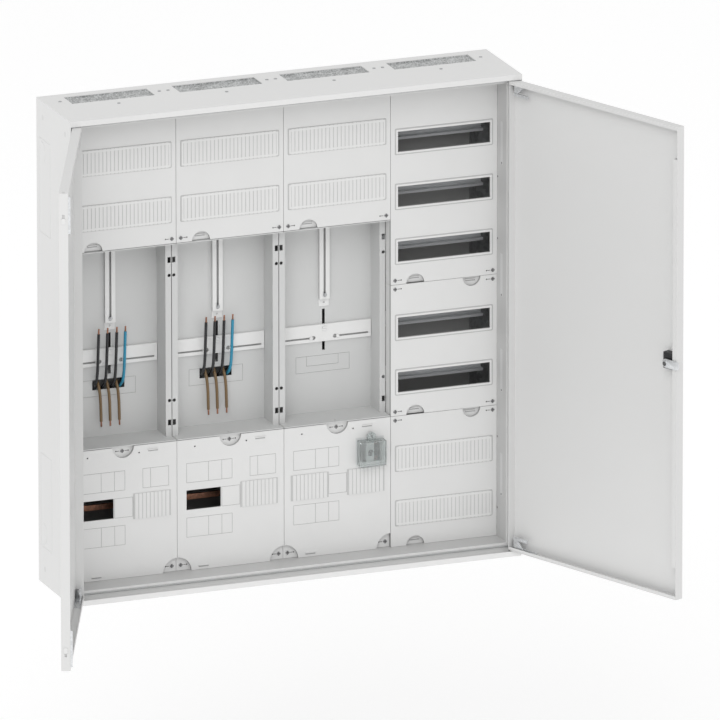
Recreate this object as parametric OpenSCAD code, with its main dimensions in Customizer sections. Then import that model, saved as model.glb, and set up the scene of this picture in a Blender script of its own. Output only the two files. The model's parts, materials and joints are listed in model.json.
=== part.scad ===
// Wall-mounted meter and distribution cabinet with two doors.
// Origin: centre of the four wall-fixing holes, on the back face.
// +Z up, the doors face -Y, so a depth from the wall is a negative Y.

/* [Cabinet] */
// Width of one field between two dividing lines
field_w = 250; // [246:1:320]
// Height of the lower connection zone
lower_h = 300; // [296:1:380]
// Height of the meter zone
meter_h = 450; // [400:1:600]
// Height of the upper device zone
upper_h = 300; // [290:1:380]
// Rim between the covers and the outer walls
rim = 25; // [24:0.5:32]
// Depth of the cabinet, wall to closed door
cab_d = 215; // [210:1:260]
// Thickness of the sheet steel
sheet = 1.5; // [1:0.1:2]
// Height of the fascia above and below the doors
fascia_h = 12; // [10:0.5:14]
// Distance of each wall-fixing hole from the outer edges
fix_inset = 50; // [44:1:60]
// Radius of the wall-fixing holes
fix_r = 5; // [3:0.5:6]

/* [Doors] */
// Angle at which both doors stand open
door_open = 113.5; // [100:1:116]
// Depth of the door tray
door_d = 20; // [18:0.5:21]
// Gap round the doors
door_gap = 2; // [1.5:0.5:2.5]
// Hinge axis from the outer side face
hinge_side = 13; // [12:0.5:15]
// Hinge axis behind the door's outer face
hinge_back = 6; // [5.5:0.1:6.5]
// Radius of the hinge pins
pin_r = 4; // [3:0.1:4.2]
// Running clearance of the hinge pins
pin_clear = 0.05; // [0.03:0.01:0.08]
// Lock spindle from the free edge
lock_inset = 30; // [26:1:32]
// Reach of the lock cam
cam_l = 39; // [38:0.5:44]

/* [Covers] */
// Depth of the front face of all covers
cover_d = 130; // [126:1:134]
// Thickness of the moulded covers
cover_t = 3; // [2:0.5:4]
// Joint line between two covers
joint_w = 0.8; // [0.4:0.1:1.2]
// Width of twelve modules
row_w = 216; // [216:1:220]
// Height of a device opening
row_h = 46; // [45:0.5:48]
// Pitch of the device rows
row_pitch = 125; // [110:1:125]
// Pitch of the ribs on blanking strips, half a module
rib_pitch = 9; // [8:0.5:12]
// Depth of the finger pockets
pocket_d = 8; // [5:0.5:10]

/* [Meter recess] */
// Depth of the back plate's front face
plate_d = 45; // [40:1:60]
// Depth of the front flanges of the box
flange_d = 100; // [90:1:115]
// Width of one front flange
flange_w = 13.5; // [12:0.5:16]
// Wall of the moulded box
box_t = 2; // [1.5:0.5:3]
// Height of the horizontal meter carrier
cross_h = 39; // [34:1:44]
// Width of the upright meter carrier
upright_w = 24; // [20:1:30]
// Width of the cable window
window_w = 75; // [70:1:90]
// Height of the cable window
window_h = 23; // [20:1:30]

/* [Leads] */
// Diameter of a stiff lead over its insulation
lead_dia = 6.5; // [5:0.5:7]
// Diameter of the bare copper tip
tip_dia = 4; // [3:0.2:4.6]
// Length of the bare copper tip
tip_l = 13; // [8:1:16]

/* [Hidden] */
$fn = 48;
fields = 4;
meters = 3;
cab_w = fields * field_w + 2 * rim;
cab_h = lower_h + meter_h + upper_h + 2 * rim;
half_w = cab_w / 2;
half_h = cab_h / 2;
in_x = half_w - rim;
in_low = -half_h + rim;
lower_top = in_low + lower_h;
meter_top = lower_top + meter_h;
in_top = half_h - rim;
slack = 0.3;
seat = 0.05;
eps = 1;
deep = 400;
side_x = half_w - sheet;

// Frame and door planes
frame_d = cab_d - 26;
frame_back = cover_d - 10;
seal_t = 4;
seal_w = 6;
seal_in = 4.5;
bracket_t = 3;
hinge_x = half_w - hinge_side;
hinge_d = cab_d - hinge_back;
leaf_z = half_h - fascia_h - door_gap;
leaf_back = 7;
leaf_end = hinge_x - door_gap;
leaf_out = -hinge_back;
leaf_in = leaf_out + door_d;
lip_h = 8;
pin_reach = 24;
hinge_plate_l = 70;
hinge_plate_w = 14;
strip_w = 12;
strip_t = 1.5;
strip_l = 82;
knob_r = 4.5;
knob_t = 1.4;
bolt_throw = 12;

// Fields, rails and rows
rail_d = plate_d - box_t;
support_w = 30;
din_h = 35;
din_t = 1.5;
din_deep = 15;
upper_rows = [in_top - 98, in_top - 98 - row_pitch];
dist_mid_h = 300;
dist_mid_top = lower_top + dist_mid_h;
dist_rows_high = [for (i = [0 : 2]) in_top - 124.5 - i * row_pitch];
dist_rows_mid = [for (i = [0, 1]) dist_mid_top - 98 - i * row_pitch];
dist_rows_low = [for (i = [0, 1]) lower_top - 98 - i * row_pitch];
strip_h = 58;
strip_base = 1.2;
rib_h = 0.7;
rib_gap = 1.4;
strip_over = 5;
bezel_w = 7;
bezel_t = 2;
row_mid = field_w / 2;
groove_w = 0.9;
groove_d = 0.5;
switch_cut = [22, 102];
switch_cut_z = 186.5 - rim;
box_h = 45;
box_low = 124 - rim;
box_high = 248.5 - rim;
fast_edge = 10.5;
fast_r = 2.5;
head_r = 4.2;
head_t = 1.2;
post_r = 6;
pocket_top_r = 25;
pocket_corner_r = 33;
pocket_small_r = 21;
pocket_small_x = 58;
pocket_down_x = 190;

// Meter recess
cross_z = 509 - half_h;
cross_t = 5;
cross_bolt_z = cross_z + 10;
cross_slot_z = cross_z - 10;
upright_low = 586 - half_h;
upright_t = 8;
guide_slot = 6.5;
window_top = 457 - half_h;
window_x = 85;
hook_z = 595 - half_h;
hook_play = 0.4;

// Busbars and switch
bar_low = 96 - half_h;
bar_pitch = 40;
bars = 5;
bar_d = 76;
bar_w = 12;
bar_t = 5;
bar_end = 240;
switch_x = 199.5;
switch_z = 252 - half_h;
module_w = 18;
flap_x = [171, 231];
flap_z = [224 - half_h, 280 - half_h];
flap_deep = 24;
flap_t = 2;
flap_gap = 1.2;
flap_axis_d = cover_d + 5.2;
flap_axis_z = flap_z[0] + 2;
flap_pin_r = 1.2;
ear_r = 10;
ear_t = 3;
ear_hole = 3;

// Leads: places across a field, and one route for each direction
black_x = [89, 109.5, 131];
blue_x = 151;
brown_x = [97, 118, 139.5];
lead_lean = 5;
lead_bow = 3;
// Each point: share of the lean, depth from the wall, height above the cabinet's foot
up_route = [
  [0, 27, 400], [0, 27, 408], [0, 28, 416], [0.03, 30, 424], [0.07, 34.5, 432],
  [0.12, 40, 438.5], [0.17, 46.5, 443.5], [0.22, 53, 450], [0.27, 58, 459], [0.33, 61, 470],
  [0.42, 62.5, 483], [0.53, 63, 499], [0.66, 63, 518], [0.82, 63, 541], [1, 63, 566]
];
down_route = [
  [0, 27, 484], [0, 27, 477], [0, 28, 470], [0.05, 31.5, 463], [0.1, 36.5, 457],
  [0.17, 43, 451.5], [0.24, 49, 445.5], [0.32, 54, 437], [0.42, 57.5, 427], [0.52, 59, 417],
  [0.62, 60, 407], [0.72, 60, 397], [0.82, 60, 387], [0.91, 60, 377], [1, 60, 366]
];
ring_step = 2;
ring_sides = 8;
clamp_deep = 28;

function line_x(i) = (i - fields / 2) * field_w;
function mid_x(i) = line_x(i) + field_w / 2;
function z_at(h) = h - half_h;

// Basic solids ------------------------------------------------------------

// Box from true coordinate pairs
module slab(x, y, z) {
  translate([x[0], y[0], z[0]]) cube([x[1] - x[0], y[1] - y[0], z[1] - z[0]]);
}

// Box whose depth is counted from the wall
module block(x, d, z) {
  slab(x, [-d[1], -d[0]], z);
}

// Round bar along the depth
module rod_y(x, z, r, d) {
  translate([x, -d[0], z]) rotate([90, 0, 0]) cylinder(r = r, h = d[1] - d[0]);
}

// Round bar along the width
module rod_x(x, d, z, r) {
  translate([x[0], -d, z]) rotate([0, 90, 0]) cylinder(r = r, h = x[1] - x[0]);
}

// Round bar along the height
module rod_z(x, d, z, r) {
  translate([x, -d, z[0]]) cylinder(r = r, h = z[1] - z[0]);
}

// Outline of a rectangle as a shallow groove in a face at depth d
module scored(x, z, d) {
  difference() {
    block(x, [d - groove_d, d + eps], z);
    block([x[0] + groove_w, x[1] - groove_w], [d - deep, d + 2 * eps],
          [z[0] + groove_w, z[1] - groove_w]);
  }
}

// One upright scored line
module scored_line(x, z, d) {
  block([x, x + groove_w], [d - groove_d, d + eps], z);
}

// Casing --------------------------------------------------------------------

module back_panel() {
  color("whitesmoke") difference() {
    block([-side_x, side_x], [0, sheet], [-half_h + sheet, half_h - sheet]);
    for (sx = [-1, 1], sz = [-1, 1])
      rod_y(sx * (half_w - fix_inset), sz * (half_h - fix_inset), fix_r, [-eps, sheet + eps]);
  }
}

flange_w_open = 192;
flange_d_open = [24, 80];
flange_screw_d = [55, 112];
flange_screw_x = 115;
screw_r = 2.1;

// Screw places of the cable flange in field i
module at_flange_screws(i) {
  for (s = [-1, 1]) translate([mid_x(i) + s * flange_screw_x, -flange_screw_d[0], 0]) children();
  translate([mid_x(i), -flange_screw_d[1], 0]) children();
}

module top_panel() {
  color("whitesmoke") difference() {
    union() {
      block([-side_x, side_x], [0, cab_d], [half_h - sheet, half_h]);
      block([-side_x, side_x], [cab_d - sheet, cab_d], [half_h - fascia_h, half_h]);
    }
    for (i = [0 : fields - 1]) {
      block([mid_x(i) - flange_w_open / 2, mid_x(i) + flange_w_open / 2], flange_d_open,
            [half_h - sheet - eps, half_h + eps]);
      at_flange_screws(i) translate([0, 0, half_h - sheet - eps]) cylinder(r = screw_r + 0.1, h = sheet + 2 * eps);
    }
  }
}

module bottom_panel() {
  color("whitesmoke") union() {
    block([-side_x, side_x], [0, cab_d], [-half_h, -half_h + sheet]);
    block([-side_x, side_x], [cab_d - sheet, cab_d], [-half_h, -half_h + fascia_h]);
  }
}

plug_places = [[40, 36], [181, 36]];
plug_r = 6;
knock_d = [17, 86];
knock_z = [85, 298];
knock_arc_r = 25;
knock_arc_d = 30;
knock_arc_z = 116;

// Side wall in its left place
module side_wall() {
  difference() {
    block([-half_w, -side_x], [0, cab_d], [-half_h, half_h]);
    for (m = [0, 1]) mirror([0, 0, m]) {
      for (p = plug_places) rod_x([-half_w - eps, -side_x + eps], p[0], z_at(p[1]), plug_r);
      difference() {
        block([-half_w - eps, -half_w + groove_d], knock_d, [z_at(knock_z[0]), z_at(knock_z[1])]);
        block([-half_w - 2 * eps, -half_w + eps], [knock_d[0] + groove_w, knock_d[1] - groove_w],
              [z_at(knock_z[0]) + groove_w, z_at(knock_z[1]) - groove_w]);
      }
      intersection() {
        difference() {
          rod_x([-half_w - eps, -half_w + groove_d], knock_arc_d, z_at(knock_arc_z), knock_arc_r);
          rod_x([-half_w - 2 * eps, -half_w + eps], knock_arc_d, z_at(knock_arc_z), knock_arc_r - groove_w);
        }
        block([-half_w - eps, -half_w + eps], [knock_arc_d + eps, knock_arc_d + 2 * knock_arc_r],
              [z_at(knock_arc_z - 2 * knock_arc_r), z_at(knock_arc_z + 2 * knock_arc_r)]);
      }
    }
  }
}

module left_side_panel() {
  color("whitesmoke") side_wall();
}

module right_side_panel() {
  color("whitesmoke") mirror([1, 0, 0]) side_wall();
}

module side_plugs() {
  color("gainsboro") for (mx = [0, 1], mz = [0, 1], p = plug_places)
    mirror([mx, 0, 0]) mirror([0, 0, mz]) {
      rod_x([-half_w, -side_x], p[0], z_at(p[1]), plug_r - 0.02);
      rod_x([-side_x, -side_x + 1.5], p[0], z_at(p[1]), plug_r + 0.4);
    }
}

// Rim frame: front face round the opening and the sleeve behind it
module front_frame() {
  color("gainsboro") difference() {
    union() {
      block([-side_x, side_x], [frame_d - sheet, frame_d], [-half_h + sheet, half_h - sheet]);
      block([-in_x - sheet, in_x + sheet], [frame_back, frame_d], [in_low - sheet, in_top + sheet]);
    }
    block([-in_x, in_x], [frame_back - eps, frame_d + eps], [in_low, in_top]);
  }
}

module door_seal() {
  seal_x = hinge_x + leaf_back - seal_in;
  seal_z = leaf_z - seal_in;
  color("lightgrey") difference() {
    block([-seal_x - seal_w / 2, seal_x + seal_w / 2], [frame_d, frame_d + seal_t],
          [-seal_z - seal_w / 2, seal_z + seal_w / 2]);
    block([-seal_x + seal_w / 2, seal_x - seal_w / 2], [frame_d - eps, frame_d + seal_t + eps],
          [-seal_z + seal_w / 2, seal_z - seal_w / 2]);
  }
}

// Cable flanges: a screwed tray under each opening of the top
flange_floor = 4.5;

module flange_plates() {
  inner = 0.4;
  wall = 2;
  color("darkgrey") for (i = [0 : fields - 1]) {
    difference() {
      union() {
        block([mid_x(i) - flange_screw_x - 6, mid_x(i) + flange_screw_x + 6],
              [flange_d_open[0] - 8, flange_screw_d[1] + 6], [half_h - sheet - 2, half_h - sheet]);
        block([mid_x(i) - flange_w_open / 2 - wall, mid_x(i) + flange_w_open / 2 + wall],
              [flange_d_open[0] - wall, flange_d_open[1] + wall], [half_h - flange_floor - wall, half_h - sheet]);
      }
      block([mid_x(i) - flange_w_open / 2 + inner, mid_x(i) + flange_w_open / 2 - inner],
            [flange_d_open[0] + inner, flange_d_open[1] - inner], [half_h - flange_floor, half_h + eps]);
      at_flange_screws(i) translate([0, 0, half_h - deep]) cylinder(r = screw_r + 0.02, h = deep);
    }
  }
}

module flange_screws() {
  color("grey") for (i = [0 : fields - 1]) at_flange_screws(i) {
    translate([0, 0, half_h]) cylinder(r = 3.6, h = 1);
    translate([0, 0, half_h - 10]) cylinder(r = screw_r, h = 10.5);
  }
}

// Hinges ----------------------------------------------------------------------

// One corner of the hinge hardware, top left; the others are its mirrors
module at_hinges() {
  for (mx = [0, 1], mz = [0, 1]) mirror([mx, 0, 0]) mirror([0, 0, mz]) children();
}

ear_z = leaf_z + 0.8;

module hinge_brackets() {
  color("silver") at_hinges() difference() {
    union() {
      block([-side_x, -hinge_x + 8], [frame_d, cab_d - sheet - slack], [ear_z, ear_z + bracket_t]);
      block([-side_x, -hinge_x + 8], [frame_d, frame_d + bracket_t], [ear_z, half_h - sheet]);
    }
    rod_z(-hinge_x, hinge_d, [ear_z - eps, ear_z + bracket_t + eps], pin_r + 0.02);
  }
}

module hinge_pins() {
  color("grey") at_hinges() {
    rod_z(-hinge_x, hinge_d, [leaf_z - pin_reach, ear_z + bracket_t], pin_r);
    rod_z(-hinge_x, hinge_d, [ear_z + bracket_t, half_h - sheet - slack], pin_r + 0.4);
  }
}

// Doors: built closed about the hinge axis, then turned to the open angle
module at_left_hinge() {
  translate([-hinge_x, -hinge_d, 0]) rotate([0, 0, -door_open]) children();
}

module at_right_hinge() {
  mirror([1, 0, 0]) at_left_hinge() children();
}

module leaf() {
  difference() {
    union() {
      slab([-leaf_back, leaf_end], [leaf_out, leaf_out + sheet], [-leaf_z, leaf_z]);
      for (x = [-leaf_back, leaf_end - sheet]) slab([x, x + sheet], [leaf_out, leaf_in], [-leaf_z, leaf_z]);
      for (m = [0, 1]) mirror([0, 0, m]) {
        slab([-leaf_back, leaf_end], [leaf_out, leaf_in], [leaf_z - sheet, leaf_z]);
        slab([-leaf_back, leaf_end], [leaf_in - sheet, leaf_in], [leaf_z - lip_h, leaf_z]);
      }
    }
    for (m = [0, 1]) mirror([0, 0, m])
      translate([0, 0, leaf_z - sheet - eps]) cylinder(r = pin_r + pin_clear, h = sheet + 2 * eps);
  }
}

stay_x = 5;
stay_l = 42;
stay_w = 6;
stay_drop = 29;

// Hinge plate under the leaf's top flange, with its stay slot, gusset and stay arm
module hinge_plate() {
  x_low = -leaf_back + sheet;
  y_low = leaf_out + sheet;
  difference() {
    slab([x_low, x_low + hinge_plate_l], [y_low, y_low + hinge_plate_w],
         [leaf_z - sheet - bracket_t, leaf_z - sheet]);
    translate([0, 0, leaf_z - deep]) cylinder(r = pin_r + pin_clear, h = deep);
    slab([20, x_low + hinge_plate_l - 8], [y_low + 5, y_low + 9], [leaf_z - deep, leaf_z]);
  }
  // Gusset and stay arm, clear of the pin
  y_top = y_low + hinge_plate_w;
  translate([0, y_top, 0]) rotate([90, 0, 0]) linear_extrude(height = bracket_t)
    polygon([[stay_x, leaf_z - sheet - bracket_t / 2], [stay_x + 30, leaf_z - sheet - bracket_t / 2],
             [stay_x + 30, leaf_z - sheet - 2 * bracket_t], [stay_x + 8, leaf_z - stay_drop],
             [stay_x, leaf_z - stay_drop]]);
  slab([stay_x, stay_x + stay_l], [y_top - bracket_t, y_top + 1],
       [leaf_z - stay_drop - stay_w / 2, leaf_z - stay_drop + stay_w / 2]);
}

module right_hinge_plates() {
  color("silver") at_right_hinge() for (m = [0, 1]) mirror([0, 0, m]) hinge_plate();
}

bolt_r = 3;
bolt_x = leaf_end - sheet - slack - bolt_r;
bolt_y = 4;
knob_from_top = 62;
knob_from_foot = 46;
guide_t = 6;
guide_rise = 5;

// Bolt guide: a strip on the tray's inner edge with a bearing at its end
module bolt_guide() {
  low = leaf_z - lip_h - slack - strip_l;
  x_out = leaf_end - sheet - seat;
  difference() {
    union() {
      slab([x_out - strip_w, x_out], [leaf_in - strip_t, leaf_in], [low, leaf_z - lip_h - slack]);
      slab([x_out - strip_t, x_out], [leaf_in - strip_t, leaf_in + guide_rise], [low, leaf_z - lip_h - slack]);
      slab([x_out - strip_w, x_out], [leaf_out + sheet + seat, leaf_in], [low, low + guide_t]);
    }
    translate([bolt_x, bolt_y, low - eps]) cylinder(r = bolt_r + 0.05, h = guide_t + 2 * eps);
  }
}

module left_door_fittings() {
  color("silver") at_left_hinge() {
    for (m = [0, 1]) mirror([0, 0, m]) {
      hinge_plate();
      bolt_guide();
    }
  }
}

// Flush bolt: a rod behind the leaf's edge, its neck and an oval knob on the edge
module bolt(knob_at) {
  low = leaf_z - strip_l - lip_h - 12;
  translate([bolt_x, bolt_y, low]) cylinder(r = bolt_r, h = leaf_z - sheet - bolt_r - low);
  translate([bolt_x, bolt_y, leaf_z - knob_at]) rotate([0, 90, 0]) {
    cylinder(r = 1.8, h = leaf_end - bolt_x + 1);
    translate([0, 0, leaf_end - bolt_x + slack]) for (e = [-2, 2]) translate([e, 0, 0])
      cylinder(r = knob_r, h = knob_t);
  }
}

// Bores for the bolts in the tray's flanges, and the slots for their knobs
module bolt_holes() {
  for (m = [0, 1]) mirror([0, 0, m])
    translate([bolt_x, bolt_y, leaf_z - sheet - eps]) cylinder(r = bolt_r + 0.05, h = sheet + 2 * eps);
  for (k = [[0, knob_from_top], [1, knob_from_foot]]) mirror([0, 0, k[0]])
    slab([leaf_end - sheet - eps, leaf_end + eps], [bolt_y - 2.1, bolt_y + 2.1],
         [leaf_z - k[1] - 2.4, leaf_z - k[1] + bolt_throw + 2.4]);
}

module left_door() {
  color("whitesmoke") at_left_hinge() difference() {
    leaf();
    bolt_holes();
  }
}

module upper_bolt() {
  color("white") at_left_hinge() bolt(knob_from_top);
}

module lower_bolt() {
  color("white") at_left_hinge() mirror([0, 0, 1]) bolt(knob_from_foot);
}

// Lock: spindle through the right leaf, cam behind the leaf's edge
lock_x = leaf_end - lock_inset;
lock_z = -2;
spindle_r = 5;
lock_r = 9;
cam_t = 3;
cam_w = 20;
cam_gap = 1;

module right_door() {
  color("whitesmoke") at_right_hinge() difference() {
    leaf();
    translate([lock_x, leaf_out - eps, lock_z]) rotate([-90, 0, 0]) cylinder(r = lock_r, h = sheet + 2 * eps);
  }
}

module closing_strip() {
  color("whitesmoke") at_right_hinge() difference() {
    union() {
      slab([leaf_end - sheet - strip_w, leaf_end - sheet - seat], [leaf_in - strip_t, leaf_in],
           [-leaf_z + strip_l - 9, leaf_z - strip_l + 9]);
      slab([leaf_end - sheet - strip_w, leaf_end - sheet - strip_w + strip_t],
           [leaf_out + sheet + seat, leaf_in], [-leaf_z + strip_l - 9, leaf_z - strip_l + 9]);
    }
  }
}

module lock_body() {
  color("dimgrey") at_right_hinge() difference() {
    union() {
      translate([lock_x, leaf_out, lock_z]) rotate([-90, 0, 0]) cylinder(r = lock_r - 0.02, h = sheet + 1);
      slab([lock_x - 14, leaf_end - sheet - strip_w - slack], [leaf_out + sheet + seat, leaf_in - 3],
           [lock_z - 14, lock_z + 23]);
    }
    translate([lock_x, leaf_out - eps, lock_z]) rotate([-90, 0, 0]) cylinder(r = spindle_r + 0.05, h = door_d + 2 * eps);
  }
}

module lock_cam() {
  y_cam = leaf_in + cam_gap;
  color("gainsboro") at_right_hinge() translate([lock_x, 0, lock_z]) difference() {
    union() {
      translate([0, leaf_out, 0]) rotate([-90, 0, 0]) cylinder(r = spindle_r, h = y_cam + cam_t - leaf_out);
      translate([0, y_cam, 0]) rotate([-90, 0, 0]) cylinder(r = cam_w / 2, h = cam_t);
      slab([0, cam_l - cam_w / 2], [y_cam, y_cam + cam_t], [-cam_w / 2, cam_w / 2]);
      translate([cam_l - cam_w / 2, y_cam, 0]) rotate([-90, 0, 0]) cylinder(r = cam_w / 2, h = cam_t);
      translate([0, y_cam, 0]) rotate([-90, 0, 0]) cylinder(r = 6, h = cam_t + 4);
    }
    translate([0, leaf_out - eps, 0]) rotate([-90, 0, 0]) difference() {
      cylinder(r = 3.4, h = 8);
      cylinder(r = 1.6, h = 9);
    }
  }
}

// Inner frame -------------------------------------------------------------------

// Upright hat rails on the back wall at the field lines
module support_rails() {
  color("silver") for (i = [0 : fields]) translate([line_x(i), 0, 0]) {
    block([-support_w / 2, support_w / 2], [rail_d - 2, rail_d], [in_low, in_top]);
    for (s = [-1, 1]) block([s * (support_w / 2 - 1) - 1, s * (support_w / 2 - 1) + 1],
                            [sheet, rail_d], [in_low, in_top]);
  }
}

// Hat-section device rail from line x0 to x1, centred on height z
module din_rail(x0, x1, z) {
  front = rail_d + din_deep;
  web = 12.5;
  difference() {
    union() {
      block([x0, x1], [rail_d, rail_d + din_t], [z - web, z + web]);
      for (s = [-1, 1]) {
        block([x0, x1], [rail_d, front], [z + s * web - din_t / 2, z + s * web + din_t / 2]);
        block([x0, x1], [front - din_t, front],
              s > 0 ? [z + web - din_t / 2, z + din_h / 2] : [z - din_h / 2, z - web + din_t / 2]);
      }
    }
    for (n = [-4 : 4]) rod_y((x0 + x1) / 2 + n * 25, z, 2.6, [rail_d - eps, rail_d + din_t + eps]);
  }
}

module din_rails() {
  rail_in = 5;
  color("silver") {
    for (i = [0 : meters - 1], z = upper_rows) din_rail(line_x(i) + rail_in, line_x(i + 1) - rail_in, z);
    for (z = concat(dist_rows_high, dist_rows_mid, dist_rows_low))
      din_rail(line_x(meters) + rail_in, line_x(fields) - rail_in, z);
  }
}

// Places of all cover fasteners: [x, z, depth of the seat]
upper_fast = [for (i = [0 : meters - 1], s = [fast_edge, field_w - fast_edge])
  [line_x(i) + s, meter_top + 11, cover_d]];
lower_fast = [for (i = [0 : meters - 1], s = [fast_edge, field_w - fast_edge])
  [line_x(i) + s, in_low + 13, cover_d - pocket_d]];
lower_mid_fast = [for (i = [0 : meters - 1]) [mid_x(i), lower_top - 11, cover_d - pocket_d]];
dist_fast = [for (s = [fast_edge, field_w - fast_edge], z = [dist_mid_top + 10, dist_mid_top - 10,
  lower_top + 10, lower_top - 10]) [line_x(meters) + s, z, cover_d]];
all_fast = concat(upper_fast, lower_fast, lower_mid_fast, dist_fast);

module cover_posts() {
  color("gainsboro") for (f = concat(upper_fast, lower_fast, dist_fast)) difference() {
    rod_y(f[0], f[1], post_r, [rail_d, f[2] - cover_t]);
    rod_y(f[0], f[1], fast_r + 0.02, [f[2] - cover_t - 12, f[2]]);
  }
  color("gainsboro") for (f = lower_mid_fast) difference() {
    rod_y(f[0], f[1], post_r, [sheet, f[2] - cover_t]);
    rod_y(f[0], f[1], fast_r + 0.02, [f[2] - cover_t - 12, f[2]]);
  }
}

// Quarter-turn fasteners: a shank, a head and its screwdriver slot
module cover_fasteners() {
  color("lightgrey") for (f = all_fast) difference() {
    union() {
      rod_y(f[0], f[1], fast_r, [f[2] - cover_t - 10, f[2]]);
      rod_y(f[0], f[1], head_r, [f[2], f[2] + head_t]);
    }
    block([f[0] - 3.2, f[0] + 3.2], [f[2] + 0.5, f[2] + head_t + eps], [f[1] - 0.5, f[1] + 0.5]);
    block([f[0] - 0.5, f[0] + 0.5], [f[2] + 0.5, f[2] + head_t + eps], [f[1] - 3.2, f[1] + 3.2]);
  }
}

// Covers ----------------------------------------------------------------------------

// Plain cover between two heights, with its pockets and fastener holes.
// pockets: [x in the field, z, radius]
module cover_plate(i, z, pockets) {
  x = [line_x(i) + joint_w / 2, line_x(i + 1) - joint_w / 2];
  zz = [z[0] + joint_w / 2, z[1] - joint_w / 2];
  intersection() {
    difference() {
      union() {
        block(x, [cover_d - cover_t, cover_d], zz);
        for (p = pockets) rod_y(line_x(i) + p[0], p[1], p[2] + cover_t / 2,
                                [cover_d - pocket_d - cover_t, cover_d]);
      }
      for (p = pockets) rod_y(line_x(i) + p[0], p[1], p[2], [cover_d - pocket_d, cover_d + eps]);
      for (f = all_fast) rod_y(f[0], f[1], fast_r + 0.2, [cover_d - deep / 4, cover_d + eps]);
    }
    block(x, [cover_d - deep / 4, cover_d + eps], zz);
  }
}

// Opening for one row of devices
module row_cut(i, x, z, h) {
  block([line_x(i) + x[0], line_x(i) + x[1]], [cover_d - deep / 4, cover_d + eps], [z - h / 2, z + h / 2]);
}

row_x = [row_mid - row_w / 2, row_mid + row_w / 2];

module upper_cover(i) {
  color("whitesmoke") difference() {
    cover_plate(i, [meter_top, in_top], [[pocket_small_x, meter_top, pocket_small_r]]);
    for (z = upper_rows) row_cut(i, row_x, z, row_h);
  }
}

lower_pockets = [
  [field_w / 2, lower_top, pocket_top_r],
  [0, in_low, pocket_corner_r],
  [field_w, in_low, pocket_corner_r]
];
rib_row_x = [147, 235];
rib_low_x = [16, 104];
rib_trim = 4;
// Shallow dents behind the latch lips: [from, to, low edge]
latch_dents = [[183, 206, lower_top - 16.5], [50, 73, in_low + 6]];
latch_dent_h = 3.5;
pin_hole_r = 1.8;
pin_hole_x = [42, 162];

module lower_cover(i, has_switch) {
  x = line_x(i);
  z_mid = in_low + switch_cut_z;
  color("whitesmoke") difference() {
    cover_plate(i, [in_low, lower_top], lower_pockets);
    for (s = pin_hole_x) rod_y(x + s, lower_top - 17, pin_hole_r, [cover_d - deep / 4, cover_d + eps]);
    for (d = latch_dents) block([x + d[0], x + d[1]], [cover_d - cover_t / 2, cover_d + eps], [d[2], d[2] + latch_dent_h]);
    for (z = [box_low, box_high]) {
      scored([x + 22, x + 129], [in_low + z - box_h / 2, in_low + z + box_h / 2], cover_d);
      for (s = [73, 104]) scored_line(x + s, [in_low + z - box_h / 2, in_low + z + box_h / 2], cover_d);
    }
    scored([x + 104, x + 147], [z_mid - box_h / 2, z_mid + box_h / 2], cover_d);
    row_cut(i, [rib_row_x[0] + rib_trim, rib_row_x[1] - rib_trim], z_mid, box_h);
    if (has_switch) {
      row_cut(i, [rib_low_x[0] + rib_trim, rib_low_x[1] - rib_trim], z_mid, box_h);
      row_cut(i, [flap_x[0] + 6, flap_x[1] - 6], switch_z, box_h + 1);
    } else {
      row_cut(i, switch_cut, z_mid, box_h);
      scored([x + 170, x + 231], [in_low + box_high - box_h / 2, in_low + box_high + box_h / 2], cover_d);
      scored_line(x + 188, [in_low + box_high - box_h / 2, in_low + box_high + box_h / 2], cover_d);
    }
  }
}

function dist_pockets(z, up, down) = concat(
  up ? [[pocket_small_x, z[0], pocket_small_r]] : [],
  down ? [[pocket_down_x, z[1], pocket_small_r]] : []);

// Skirt that closes the side of a distribution cover towards the meter fields
skirt_x = [line_x(meters) + joint_w / 2, line_x(meters) + joint_w / 2 + cover_t];

module distribution_cover(z, down, rows) {
  color("whitesmoke") difference() {
    union() {
      cover_plate(meters, z, dist_pockets(z, true, down));
      if (z[0] == in_low)
        block(skirt_x, [cover_d - pocket_d - cover_t, cover_d - eps],
              [in_low + joint_w / 2, in_low + pocket_corner_r + cover_t]);
      else
        block(skirt_x, [flange_d, cover_d - eps],
              [z[0] + joint_w / 2, min(z[1], meter_top) - joint_w / 2]);
    }
    for (r = rows) row_cut(meters, row_x, r, row_h);
  }
}

module device_bezels() {
  color("white") for (z = concat(dist_rows_high, dist_rows_mid)) translate([line_x(meters), 0, 0]) difference() {
    block([row_x[0] - bezel_w, row_x[1] + bezel_w], [cover_d, cover_d + bezel_t],
          [z - row_h / 2 - bezel_w, z + row_h / 2 + bezel_w]);
    block(row_x, [cover_d - eps, cover_d + bezel_t + eps], [z - row_h / 2, z + row_h / 2]);
  }
}

// Ribbed strip: one outline of base and ribs, drawn up to its height
module ribbed_strip(x, z) {
  count = floor((x[1] - x[0] - rib_gap) / rib_pitch);
  start = (x[1] - x[0] - count * rib_pitch + rib_gap) / 2;
  tops = [for (n = [0 : count - 1], k = [0 : 3])
    [start + n * rib_pitch + (k > 1 ? rib_pitch - rib_gap : 0), -strip_base - (k == 1 || k == 2 ? rib_h : 0)]];
  translate([x[0], -cover_d, z - strip_h / 2]) linear_extrude(height = strip_h)
    polygon(concat([[0, 0], [0, -strip_base]], tops, [[x[1] - x[0], -strip_base], [x[1] - x[0], 0]]));
}

full_strip = [row_x[0] - strip_over, row_x[1] + strip_over];

module upper_blanking_strips() {
  color("white") for (i = [0 : meters - 1], z = upper_rows)
    ribbed_strip([line_x(i) + full_strip[0], line_x(i) + full_strip[1]], z);
}

module distribution_blanking_strips() {
  color("white") for (z = dist_rows_low)
    ribbed_strip([line_x(meters) + full_strip[0], line_x(meters) + full_strip[1]], z);
}

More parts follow.
